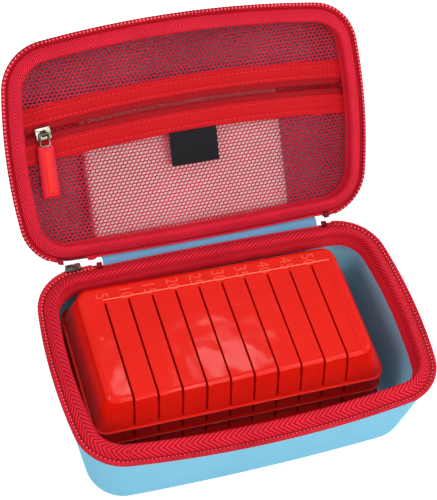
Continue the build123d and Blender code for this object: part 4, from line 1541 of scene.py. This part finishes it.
@dataclass(frozen=True)
class PullTab:
    """Soft rubber pull with broad bevels and a smooth face, in the place of its solid.

    Args:
        node: the solid that it stands for.
        body: body that it rides on.
        outward: direction that its face looks towards.
        taper: how much narrower its near end is.
        corner: radius of its corners.
        reach: length that the bail's eye takes of the solid.
        around: points round the pull.
        section: inset and level of the pull's rows, where a level of one is its face.
        face: the same for its smooth face.
    """

    node: str
    body: str
    outward: Vector
    taper: float = 0.5
    corner: float = 2.4
    reach: float = 1.0
    around: int = 64
    section: tuple = ((3.0, -1.0), (0.7, -1.0), (0.15, -0.8), (0.0, -0.45), (0.0, -0.3), (0.25, -0.08), (2.4, 0.84),
                      (2.7, 0.9), (3.0, 0.84), (3.6, 0.84))
    face: tuple = ((3.05, 0.80), (3.05, 0.93), (3.2, 1.0), (4.4, 1.0))

    def frame_axes(self, points: np.ndarray) -> tuple[np.ndarray, np.ndarray]:
        """Middle of the solid and its axes: along, across and outward.

        Args:
            points: the solid's points in millimetres.

        Returns:
            The middle of its box and a matrix whose rows are the axes.
        """
        centre = points.mean(axis=0)
        along, across, normal = np.linalg.svd(points - centre, full_matrices=False)[2]
        if normal @ np.array(self.outward) < 0:
            normal = -normal
        spread = (points - centre) @ along
        wide = np.ptp(((points - centre) @ across)[spread > spread.max() - 2.0])
        narrow = np.ptp(((points - centre) @ across)[spread < spread.min() + 2.0])
        if narrow > wide:
            along = -along
        axes = np.array([along, np.cross(normal, along), normal])
        local = (points - centre) @ axes.T
        return centre + (local.max(axis=0) + local.min(axis=0)) / 2 @ axes, axes

    def loop(self, inset: float, length: float, width: float) -> np.ndarray:
        """Rounded outline, a little narrower at its near end."""
        unit = circle(self.around, TINY)
        corner = max(self.corner - inset, 0.5)
        half = np.array([length / 2 - inset - corner, width / 2 - inset - corner])
        points = unit * corner + np.sign(unit) * half
        points[:, 1] *= 1.0 - self.taper * (length / 2 - points[:, 0]) / length / width * 2
        return points

    def build(self, node: bpy.types.Object, finishes: Finishes) -> None:
        """Build the pull and its face over the solid's box."""
        points = vertices(node) / MM
        centre, axes = self.frame_axes(points)
        length, width, thickness = np.ptp((points - centre) @ axes.T, axis=0)
        length -= self.reach

        def ring(inset: float, level: float) -> np.ndarray:
            """Row of the pull at an inset and a level, in the case's frame."""
            loop = self.loop(inset, length, width)
            return centre + raised(loop + (self.reach / 2, 0.0), level * thickness / 2) @ axes

        along = np.arange(self.around + 1) * math.pi / self.around * width
        body = lofted(f"{self.node}_rubber", [ring(*row) for row in self.section], CASE, along, Form.CUP, 50.0)
        face = lofted(f"{self.node}_face", [ring(*row) for row in self.face], CASE, along, Form.CUP, 50.0)
        for piece, key in ((body, "rubber"), (face, "tab_face")):
            finishes.dress(piece, key)
            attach(piece, self.body)
        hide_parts(self.node)


# Hinge strip and contents


@dataclass
class HingeStrip:
    """Fabric strip over the outside of the hinge, sewn to both shells.

    Args:
        base: the base's seat.
        lid: the lid's seat.
        base_tray: the base's tray.
        lid_tray: the lid's tray.
        outline: outline of the case.
        left: X of the strip's left end.
        right: X of its right end.
        thickness: thickness of the strip.
        drops: drops of its rows below the foot of the base's rim, the last above it.
        lid_drops: the same on the lid, from the hinge away.
        bulge: how far it arches over the hinge.
        under: gap between the strip and the walls.
        flat_length: length of the flat strip, in metres; not used.
        columns: points along the strip.
    """

    base: Seat
    lid: Seat
    base_tray: Tray
    lid_tray: Tray
    outline: Outline
    left: float = -62.0
    right: float = 72.0
    thickness: float = 1.1
    drops: tuple = (15.0, 8.0, 2.0, -1.3)
    lid_drops: tuple = (-1.3, 2.0, 7.0, 13.0)
    bulge: float = 1.6
    under: float = 0.05
    flat_length: float = 0.036
    columns: int = 90

    @staticmethod
    def back(loop: np.ndarray, x: np.ndarray) -> np.ndarray:
        """Y at which the back of a loop passes each X."""
        points = loop[loop[:, 1] > 0]
        points = points[np.argsort(points[:, 0])]
        return np.interp(x, points[:, 0], points[:, 1])

    def wall(self, seat: Seat, tray: Tray, x: np.ndarray, height: float, away: float) -> np.ndarray:
        """Points along the back wall at a height, some way outside it."""
        y = self.back(tray.level(self.outline, min(height, tray.crest - tray.foot_drop), -away), x)
        return seat.place(np.column_stack([x, y, np.full(len(x), height)]))

    def side(self, x: np.ndarray, away: float, lift: float) -> list[np.ndarray]:
        """Rows from the base's wall over the hinge to the lid's wall, at a distance outside the walls."""
        base_foot = self.base_tray.crest - self.base_tray.foot_drop
        lid_foot = self.lid_tray.crest - self.lid_tray.foot_drop
        rows = [self.wall(self.base, self.base_tray, x, base_foot - drop, away) for drop in self.drops]
        lid = [self.wall(self.lid, self.lid_tray, x, lid_foot - drop, away) for drop in self.lid_drops]
        start, end = rows[-1], lid[0]
        peak = (start + end) / 2 + np.array([0.0, 0.0, self.bulge + lift])
        for share in (0.3, 0.5, 0.7):
            rows.append(start * (1 - share) ** 2 + 2 * peak * share * (1 - share) + end * share**2)
        return rows + lid

    def build(self, finishes: Finishes) -> None:
        """Build and dress the strip, and bake its place into its mesh."""
        x = np.linspace(self.left, self.right, self.columns)
        rows = self.side(x, self.thickness, 0.0) + list(reversed(self.side(x, self.under, 1.0)))
        piece = lofted("hinge_strip_fabric", rows, CASE, x)
        # Its darker blue is painted shade.
        finishes.dress(piece, "hinge")
        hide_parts("hinge_strip")
        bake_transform(piece)


@dataclass
class CardPack:
    """Pack of cards behind the lower mesh.

    Args:
        seat: the lid's seat.
        node: the solid pack that the cards stand for.
        width: width of a card.
        height: height of a card.
        thickness: thickness of the whole pack.
        corner: radius of the cards' corners.
        rise: rise of the pack's far edge off the lid.
        cards: number of cards that are drawn.
        card_share: share of a card's pitch that its thickness fills.
        trim: share by which the cards are smaller than the solid pack.
        slip: how far the cards slip sideways and endways on each other.
        around: points round a card.
    """

    seat: Seat
    node: bpy.types.Object
    width: float = 121.0
    height: float = 78.0
    thickness: float = 8.0
    corner: float = 5.0
    rise: float = 5.2
    cards: int = 18
    card_share: float = 0.82
    trim: float = 0.0022
    slip: tuple[float, float] = (0.10, 0.07)
    around: int = 48

    def build(self, finishes: Finishes) -> None:
        """Build the cards from the solid pack's own place."""
        solid = self.seat.local(vertices(self.node) / MM)
        middle = (solid[:, 0].max() + solid[:, 0].min()) / 2
        edge = solid[:, 1].max()
        foot = solid[np.argmax(solid[:, 1]), 2]
        tilt = math.asin(self.rise / self.height)
        cosine, sine = math.cos(tilt), math.sin(tilt)
        count = self.around
        half = np.array([self.width / 2 - self.corner, self.height / 2 - self.corner])
        unit = circle(count, TINY)
        border = (unit * self.corner + np.sign(unit) * half) * (1.0 - self.trim)
        pitch = self.thickness / self.cards
        side_slip, end_slip = self.slip
        faces, points = [], []
        for card in range(self.cards):
            slip = (side_slip * math.sin(card * 2.3), end_slip * (math.cos(card * 1.7) - 1.0) - self.height / 2)
            for level in (card * pitch, card * pitch + pitch * self.card_share):
                x, y = (border + slip).T
                points.append(np.column_stack([x + middle, edge + y * cosine - level * sine,
                                               foot + y * sine + level * cosine]))
            base = card * 2 * count
            low, high = range(base, base + count), range(base + count, base + 2 * count)
            faces += [(low[i], low[(i + 1) % count], high[(i + 1) % count], high[i]) for i in range(count)]
            faces += [tuple(reversed(low)), tuple(high)]
        piece = add_mesh("card_pack_cards", self.seat.place(np.concatenate(points)), faces)
        tidy_normals(piece, 30.0)
        finishes.dress(piece, "card")
        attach(piece, "card_pack")
        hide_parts("card_pack")


@dataclass(frozen=True)
class Rack:
    """Moulded tray for the cards: drafted walls, ten slots, a lip, raised numbers and mould marks.

    Args:
        pitch: rise from one rack of the stack to the next.
        lean: shift of each rack towards the front, from the lowest.
        shift: shift of each rack to the left, from the topmost.
        place: place of the stack's foot.
        yaw: turn of the stack, in degrees.
        count: number of racks.
        height: height of a rack.
        side: half width at the top and how much the foot is wider.
        front: the same for the front.
        rear: the same for the back.
        corner: radius of the corners.
        wall: thickness of the plastic.
        lip_top: height of the lip's top.
        first: X of the first slot.
        groove_pitch: distance between slots.
        grooves: number of slots.
        groove_back: Y at which the raised line's front lies.
        slot_gap: distance of the slots' ends from there.
        groove_half: half width of a slot.
        slot_floor: height of the slots' floor over the top.
        slot_foot: height at which the slots end in the front wall.
        saw: step of the sawtooth top.
        chamfer: width and drop of the top's edge.
        panel_end: X at which the last panel ends.
        row: Y of the numbers.
        size: size of the numbers.
        number_step: step from one number to the next.
        number_lift: height of their middle over the top.
        squeeze: width of the numbers, as a share of the font's.
        number_shift: shift of the numbers to the left of their slots.
        relief: half height of the numbers.
        thinned: how much thinner their strokes are than the font's.
        ridge: height, middle past groove_back and half width of the swelling under the raised line.
        line_section: offsets and heights round the raised line.
        marks_at: end of the name, X, Y and radius of each round mould mark.
        mark_bead: half width and height of their raised bead.
        wall_rise: rows up a wall, as shares of its height.
        edge_in: distances of the rows inside the top's edge.
        corner_in: further distances, inside the corners.
        floor_shares: rows from the edge to the slots' ends.
        line_steps: rows past the slots' ends.
    """

    pitch: float = 11.2
    lean: float = 0.85
    shift: float = 0.77
    place: tuple[float, float, float] = (-2.7, 11.75, 6.4)
    yaw: float = -0.8
    count: int = 4
    height: float = 20.4
    side: tuple[float, float] = (78.6, 7.9)
    front: tuple[float, float] = (37.65, 7.3)
    rear: tuple[float, float] = (37.65, 0.9)
    corner: float = 7.0
    wall: float = 0.9
    lip_top: float = 1.0
    first: float = -64.1
    groove_pitch: float = 14.05
    grooves: int = 10
    groove_back: float = 27.85
    slot_gap: float = 1.4
    groove_half: float = 0.7
    slot_floor: float = 10.3
    slot_foot: float = 1.3
    saw: float = 0.75
    chamfer: tuple[float, float] = (1.7, 0.95)
    panel_end: float = 71.4
    row: float = 31.0
    size: float = 11.0
    number_step: int = 5
    number_lift: float = 0.12
    squeeze: float = 0.78
    number_shift: float = 0.95
    relief: float = 0.16
    thinned: float = 0.13
    ridge: tuple[float, float, float] = (0.28, 0.45, 0.3)
    line_section: tuple = ((-0.42, -0.5), (-0.3, 0.36), (0.3, 0.36), (0.42, -0.5))
    marks_at: tuple = (("gate_mark", -71.0, -28.5, 2.7), ("pin_mark", -71.6, 3.5, 0.9))
    mark_bead: tuple[float, float] = (0.22, 0.14)
    wall_rise: tuple = (0.3, 0.5, 0.7, 0.82, 0.88, 0.92, 0.96, 1.0)
    edge_in: tuple = (0.3, 0.8, 1.3, 1.6, 1.8, 2.1, 2.8, 4.2)
    corner_in: tuple = (5.6, 7.0)
    floor_shares: tuple = (0.12, 0.28, 0.45, 0.62, 0.8, 0.93, 1.0)
    line_steps: tuple = (0.08, 1.4, 1.5, 1.7, 1.9, 2.1, 2.35, 3.0)

    def outside(self, x: np.ndarray, y: np.ndarray, share: np.ndarray | float) -> np.ndarray:
        """Distance outside the outline at a share of the height, negative inside."""
        side = self.side[0] + self.side[1] * (1 - share) - self.corner
        front = self.front[0] + self.front[1] * (1 - share) - self.corner
        rear = self.rear[0] + self.rear[1] * (1 - share) - self.corner
        across, deep = np.abs(x) - side, np.maximum(-y - front, y - rear)
        round_off = np.hypot(np.maximum(across, 0.0), np.maximum(deep, 0.0))
        return round_off + np.minimum(np.maximum(across, deep), 0.0) - self.corner

    def edge(self, x: np.ndarray, share: np.ndarray, back: bool) -> np.ndarray:
        """Y of the outline's front or back edge at an X and a share of the height."""
        side = self.side[0] + self.side[1] * (1 - share) - self.corner
        size, draft = self.rear if back else self.front
        over = np.clip(np.abs(x) - side, 0.0, self.corner)
        reach = size + draft * (1 - share) - self.corner + np.sqrt(self.corner**2 - over**2)
        return reach if back else -reach

    @staticmethod
    def soft_min(first: np.ndarray, second: np.ndarray, reach: float) -> np.ndarray:
        """Smaller of two heights, rounded where they meet."""
        near = np.maximum(reach - np.abs(first - second), 0.0) / reach
        return np.minimum(first, second) - near**2 * reach / 4

    def top(self, x: np.ndarray, y: np.ndarray) -> np.ndarray:
        """Height of the outer surface over each point of the rack's plan."""
        low, high = np.zeros_like(x), np.full_like(x, 2.2)
        for _ in range(26):
            middle = (low + high) / 2
            inside = self.outside(x, y, middle) < 0
            low, high = np.where(inside, middle, low), np.where(inside, high, middle)
        panel = np.clip((x - self.first) / self.groove_pitch, 0.0, None)
        last = self.grooves - 1
        share = np.where(panel > last, panel - last, panel % 1.0)
        share = np.clip(share * self.groove_pitch / (self.groove_pitch - 0.1), 0.0, 1.0)
        stepped = (x > self.first) & (x < self.panel_end) & (y < self.groove_back)
        cap = self.height - np.where(stepped, self.saw * (1 - share), 0.0)
        tall, middle, wide = self.ridge
        along = (x > self.first) & (x < self.panel_end + 1.5)
        ridge = np.exp(-(((y - self.groove_back - middle) / wide) ** 2)) * along
        width, drop = self.chamfer
        inward = -self.outside(x, y, 1.0)
        sloped = self.height - drop + drop / width * inward - (self.height - cap) * 0.8
        level = self.soft_min(cap + tall * ridge, sloped, 0.3)
        return self.soft_min(self.height * low, level, 1.3)

    def columns(self) -> np.ndarray:
        """X of every line of points from front to back."""
        foot = self.side[0] + self.side[1]
        shares = np.array([self.lip_top / self.height, 0.15, *self.wall_rise])
        inward = np.array([*self.edge_in, *self.corner_in])
        outer = np.concatenate([foot - self.side[1] * shares, self.side[0] - inward])
        slots = [self.first + self.groove_pitch * i for i in range(self.grooves)]
        near = np.array([1.3, 0.86, 0.76, self.groove_half + 0.01, self.groove_half - 0.01])
        cuts = [slot + side * near for slot in slots for side in (-1, 1)]
        panels = [slot + np.linspace(2.4, self.groove_pitch - 2.4, 4) for slot in slots[:-1]]
        ends = [np.linspace(-self.side[0] + 8.0, slots[0] - 2.4, 3),
                np.array([66.0, 69.0, self.panel_end - 0.02, self.panel_end + 0.02])]
        return np.unique(np.round(np.concatenate([outer, -outer, *cuts, *panels, *ends]), 4))

    def body(self, name: str) -> bpy.types.Object:
        """Thin body of one rack, in its own frame."""
        x = self.columns()
        start = self.lip_top / self.height
        reach = np.clip((self.side[0] + self.side[1] - np.abs(x)) / self.side[1], start, 1.0)
        front = [self.edge(x, start + (reach - start) * share, False) for share in (0.0, 0.12, *self.wall_rise)]
        back = [self.edge(x, start + (reach - start) * share, True) for share in (0.0, 0.5, 0.8, 0.95, 1.0)]
        scale = np.clip(reach * 1.2, 0.4, 1.0)
        front_edge, back_edge = front[-1], back[-1]
        front += [front_edge + step * scale for step in self.edge_in]
        back += [back_edge - step * scale for step in self.edge_in]
        stop = np.minimum(self.groove_back - self.slot_gap - 0.04, back[-1] - 4.4)
        inner = front[-1]
        front += [inner + (stop - inner) * share for share in self.floor_shares]
        ridge = [stop + step for step in self.line_steps]
        rows = np.array(front + ridge + back[::-1])
        grid_x = np.broadcast_to(x, rows.shape)
        z = self.top(grid_x, rows)
        for groove in range(self.grooves):
            slot = (np.abs(grid_x - self.first - self.groove_pitch * groove) < self.groove_half)
            slot &= rows < self.groove_back - self.slot_gap
            floor = np.where(rows < -self.front[0] - self.front[1] / 2 + self.wall, self.slot_foot, self.slot_floor)
            z = np.where(slot, np.minimum(z, floor), z)
        z[0], z[-1], z[:, 0], z[:, -1] = (self.lip_top,) * 4
        levels, size = rows.shape
        points = np.column_stack([grid_x.ravel(), rows.ravel(), z.ravel()])
        faces = [(row * size + i, row * size + i + 1, (row + 1) * size + i + 1, (row + 1) * size + i)
                 for row in range(levels - 1) for i in range(size - 1)]
        piece = add_mesh(name, points, faces)
        self.add_lip(piece)
        return piece

    def add_lip(self, piece: bpy.types.Object) -> None:
        """Turn the open edge outward into the lip and give the whole body its wall."""
        work = bmesh.new()
        work.from_mesh(piece.data)
        bmesh.ops.remove_doubles(work, verts=work.verts, dist=1e-6)
        border = [edge for edge in work.edges if edge.is_boundary]
        for out, drop in ((0.45, 0.0), (0.85, 0.0), (0.2, 0.12), (0.0, 0.2)):
            grown = bmesh.ops.extrude_edge_only(work, edges=border)["geom"]
            for vertex in (item for item in grown if isinstance(item, bmesh.types.BMVert)):
                x, y = vertex.co.x / MM, vertex.co.y / MM
                side = self.side[0] + self.side[1] - self.corner
                front, rear = (size + draft - self.corner for size, draft in (self.front, self.rear))
                sideways = max(abs(x) - side, 0.0) * math.copysign(1, x)
                over = Vector((sideways, max(y - rear, 0.0) - max(-y - front, 0.0))).normalized() * out * MM
                vertex.co += Vector((over.x, over.y, -drop * MM))
            border = [item for item in grown if isinstance(item, bmesh.types.BMEdge)]
        bmesh.ops.recalc_face_normals(work, faces=work.faces)
        if sum(face.normal.z for face in work.faces) < 0:
            bmesh.ops.reverse_faces(work, faces=work.faces)
        work.to_mesh(piece.data)
        work.free()
        solid = piece.modifiers.new("wall", "SOLIDIFY")
        solid.thickness = (self.wall - 0.2) * MM
        solid.offset = -1.0
        bpy.context.view_layer.update()
        bare = piece.data
        piece.data = bpy.data.meshes.new_from_object(piece.evaluated_get(bpy.context.evaluated_depsgraph_get()))
        piece.modifiers.clear()
        bpy.data.meshes.remove(bare)
        piece.data.set_sharp_from_angle(angle=math.radians(38.0))

    def marks(self, name: str) -> bpy.types.Object:
        """Raised numbers behind the slots."""
        joined = bmesh.new()
        for groove in range(self.grooves):
            curve = bpy.data.curves.new("number", "FONT")
            curve.body = str(self.number_step * (groove + 1))
            curve.size = self.size * MM
            curve.extrude = self.relief * MM
            curve.offset = -self.thinned * MM
            curve.resolution_u = 3
            curve.align_x, curve.align_y = "CENTER", "CENTER"
            holder = linked("number", curve)
            bpy.context.view_layer.update()
            mesh = bpy.data.meshes.new_from_object(holder.evaluated_get(bpy.context.evaluated_depsgraph_get()))
            x = self.first + self.groove_pitch * groove - self.number_shift
            spot = Matrix.Translation(Vector((x, self.row, self.height + self.number_lift)) * MM)
            spot @= Matrix.Rotation(-math.pi / 2, 4, "Z") @ Matrix.Diagonal((self.squeeze, 1.0, 1.0, 1.0))
            mesh.transform(spot)
            joined.from_mesh(mesh)
            bpy.data.objects.remove(holder)
            bpy.data.curves.remove(curve)
            bpy.data.meshes.remove(mesh)
        mesh = bpy.data.meshes.new(name)
        joined.to_mesh(mesh)
        joined.free()
        return linked(name, mesh)

    def line(self, name: str) -> bpy.types.Object:
        """Raised line between the slots and the numbers, dressed in a pale pink that paints its highlight."""
        x = np.linspace(self.first - 0.6, self.panel_end + 2.6, 40)
        middle = self.groove_back + self.ridge[1]
        rows = [np.column_stack([x, np.full(len(x), middle + y), np.full(len(x), self.height + z)])
                for y, z in self.line_section]
        return lofted(name, rows, CASE, x)

    def ring(self, name: str, x: float, y: float, radius: float) -> bpy.types.Object:
        """Round mould mark standing a little proud of the top."""
        count, rows = 48, []
        wide, high = self.mark_bead
        for out, up in circle(6):
            rows.append(raised((x, y) + (radius + wide * out) * circle(count), self.height + high * up))
        return lofted(name, rows, CASE, np.arange(count + 1) * 2 * math.pi / count * radius, Form.RING, 60.0)

    def build(self, finishes: Finishes) -> None:
        """Build the racks, each in its place in the stack."""
        for index in range(self.count):
            level = self.count - 1 - index
            name = f"card_rack_{index + 1}"
            spot = Vector((self.place[0] - self.shift * level, self.place[1] - self.lean * index,
                           self.place[2] + self.pitch * level)) * MM
            place = Matrix.Translation(spot) @ Matrix.Rotation(math.radians(self.yaw), 4, "Z")
            body = self.body(f"{name}_tray")
            # The lower racks take the darker copy of the plastic: painted shade.
            plastic = "rack" if level == self.count - 1 else "rack_painted_shade"
            line = self.line(f"{name}_line")
            numbers = self.marks(f"{name}_numbers")
            rings = [self.ring(f"{name}_{mark}", *spot) for mark, *spot in self.marks_at]
            for piece in (body, numbers, line, *rings):
                piece.data.transform(place)
                # The raised line, numbers and mould marks take paler copies of the plastic: painted highlights.
                key = "rack_painted_highlight_line" if piece is line else "rack_mark_painted_highlight"
                finishes.dress(piece, plastic if piece is body else key)
                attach(piece, name)
            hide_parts(name)
            LOG.info("%s: %d faces", name, len(body.data.polygons))


# Studio


@dataclass(frozen=True)
class Studio:
    """Camera at the photograph's angle, a white floor and soft lamps.

    Args:
        azimuth: angle of the camera round the case, in degrees.
        elevation: angle of the camera above the floor.
        roll: turn of the camera about its view.
        distance: distance of the camera from its target, in millimetres.
        target: point that the camera looks at, in millimetres.
        lens: focal length in millimetres.
        ambient: strength of the surroundings' light.
        glow: strength that lifts the floor to white.
        floor_half: half size of the floor, in metres.
        floor_drop: distance of the floor below the case, in metres.
        lamps: name, place, power, size and aim of each lamp, in metres and watts.
    """

    azimuth: float = -27.65
    elevation: float = 53.32
    roll: float = 12.13
    distance: float = 859.49
    target: tuple[float, float, float] = (7.15, 61.22, 58.9)
    lens: float = 104.29
    ambient: float = 0.55
    glow: float = 0.62
    floor_half: float = 6.0
    floor_drop: float = 0.0002
    lamps: tuple = (
        ("front softbox", (0.45, -1.05, 0.95), 8.0, (0.9, 0.5), (0.0, 0.03, 0.06)),
        ("side softbox", (1.15, 0.05, 0.95), 4.2, (0.6, 0.6), (0.0, 0.03, 0.06)),
        ("left softbox", (-1.05, -0.15, 1.0), 5.2, (0.5, 0.5), (0.0, 0.03, 0.06)),
        ("small softbox", (0.20, 0.545, 1.10), 0.15, (0.10, 0.055), (-0.01, -0.01, 0.06)),
        ("edge softbox", (0.33, -0.50, 1.15), 1.5, (0.5, 0.08), (0.0, -0.03, 0.06)),
    )

    def camera(self) -> None:
        """Create the camera and make it the scene's own."""
        azimuth, elevation, roll = (math.radians(v) for v in (self.azimuth, self.elevation, self.roll))
        back = Vector((math.sin(azimuth) * math.cos(elevation), -math.cos(azimuth) * math.cos(elevation),
                       math.sin(elevation)))
        right = (-back).cross(Vector((0, 0, 1))).normalized()
        up = right.cross(-back)
        side = right * math.cos(roll) + up * math.sin(roll)
        rise = -right * math.sin(roll) + up * math.cos(roll)
        data = bpy.data.cameras.new("Camera")
        data.lens = self.lens
        data.sensor_width = 36.0
        data.sensor_fit = "AUTO"
        data.clip_end = 20.0
        camera = linked("Camera", data)
        place = (Vector(self.target) + back * self.distance) * MM
        camera.matrix_world = Matrix.Translation(place) @ Matrix((side, rise, back)).transposed().to_4x4()
        bpy.context.scene.camera = camera

    def floor(self) -> None:
        """Pale floor that keeps a faint shadow and shows white to the camera and in reflections."""
        size = self.floor_half
        mesh = bpy.data.meshes.new("studio_floor")
        mesh.from_pydata([(-size, -size, 0), (size, -size, 0), (size, size, 0), (-size, size, 0)], [], [(0, 1, 2, 3)])
        floor = linked("studio_floor", mesh)
        floor.location.z = -self.floor_drop
        material = bpy.data.materials.new("Studio floor")
        material.use_nodes = True
        net = Net(material.node_tree)
        shader = material.node_tree.nodes["Principled BSDF"]
        white = (1.0, 1.0, 1.0, 1.0)
        net.give(shader, {"Base Color": (0.8, 0.8, 0.8, 1.0), "Roughness": 0.9, "Emission Color": white})
        net.feed(shader.inputs["Emission Strength"], net.times(net.seen(), self.glow))
        mesh.materials.append(material)

    def world(self) -> None:
        """Even white surroundings, full white to the camera and in reflections."""
        world = bpy.data.worlds.new("Studio")
        bpy.context.scene.world = world
        world.use_nodes = True
        net = Net(world.node_tree)
        background = world.node_tree.nodes["Background"]
        background.inputs["Color"].default_value = (1.0, 1.0, 1.0, 1.0)
        net.feed(background.inputs["Strength"], net.scaled(net.seen(), 1.0 - self.ambient, self.ambient))

    def lamp(self, name: str, place: tuple, power: float, size: tuple[float, float], aim: tuple) -> None:
        """Soft rectangular lamp.

        Args:
            name: name of the lamp.
            place: position in metres.
            power: power in watts.
            size: width and height in metres.
            aim: point that it faces, in metres.
        """
        data = bpy.data.lights.new(name, "AREA")
        data.shape = "RECTANGLE"
        data.size, data.size_y = size
        data.energy = power
        lamp = linked(name, data)
        lamp.location = place
        lamp.rotation_euler = (Vector(aim) - Vector(place)).to_track_quat("-Z", "Y").to_euler()

    def build(self) -> None:
        """Set up the whole studio."""
        self.camera()
        self.floor()
        self.world()
        for lamp in self.lamps:
            self.lamp(*lamp)
        bpy.context.scene.view_settings.view_transform = "Standard"


def lid_seat(frame: dict, face: float) -> Seat:
    """Seat of the open lid, from the lid's joint.

    Args:
        frame: the loaded frame.
        face: height of the lid's face on the closed case, in millimetres.

    Returns:
        The seat.
    """
    joint = next(joint for joint in frame["joints"] if joint["name"] == "lid_hinge")
    _, y, z = joint["pos_m"]
    return Seat("lid", face, (y / MM, z / MM), math.radians(-min(joint["range_deg"])))


def dress_solids(frame: dict, finishes: Finishes) -> None:
    """Give the pieces that are shown as solids their finishes."""
    # Sliders and bails take the nickel with painted reflections in its colour.
    kinds = {"_stops": "stops", "slider": "nickel", "bail": "nickel", "pull_tab": "rubber"}
    for node, piece in frame["nodes"].items():
        for part, key in kinds.items():
            if part in node:
                finishes.dress(piece, key)


BASE_TRAY = Tray(crest=63.1, side_inset=14.2, long_inset=11.0, radius=20.1, bow=0.25, edge=14.0, inner_edge=8.0,
                 flange=6.1)
LID_TRAY = Tray(crest=30.0, side_inset=7.2, long_inset=6.0, radius=23.4, bow=0.7, edge=12.0, inner_edge=9.0,
                flange=9.4)
FACE_GAP = 0.4


def main() -> None:
    """Load the frame, then build, dress and report each sub-assembly in order."""
    logging.basicConfig(level=logging.INFO, format="%(name)s: %(message)s")
    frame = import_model()
    outline = Outline()
    finishes = Finishes(Effects())
    base = Seat("base")
    lid = lid_seat(frame, BASE_TRAY.crest + FACE_GAP + LID_TRAY.crest)
    Studio().build()
    Shell(base, BASE_TRAY, outline).build(finishes, "lining")
    # The lid's lining takes the darker copy of the satin: painted shade.
    Shell(lid, LID_TRAY, outline).build(finishes, "lid_lining")
    RimZip(base, BASE_TRAY, outline, "base", skirt=12.5, lean=1.0).build(finishes)
    RimZip(lid, LID_TRAY, outline, "lid", "lid_tape", notch=(-88.0, -71.0), setback=22.0, coil_finish="lid_coil",
           stitch_row=(1.5, 1.3)).build(finishes)
    Pocket(lid, LID_TRAY, outline).build(finishes)
    HingeStrip(base, lid, BASE_TRAY, LID_TRAY, outline).build(finishes)
    CardPack(lid, frame["nodes"]["card_pack"]).build(finishes)
    Rack().build(finishes)
    dress_solids(frame, finishes)
    outward = Vector((0.0, -math.sin(lid.angle), math.cos(math.pi - lid.angle)))
    for name, away in (("pocket_pull_tab", outward), ("main_pull_tab", Vector((0.0, 1.0, 0.0)))):
        PullTab(name, name, away).build(frame["nodes"][name], finishes)


if __name__ == "__main__":
    main()
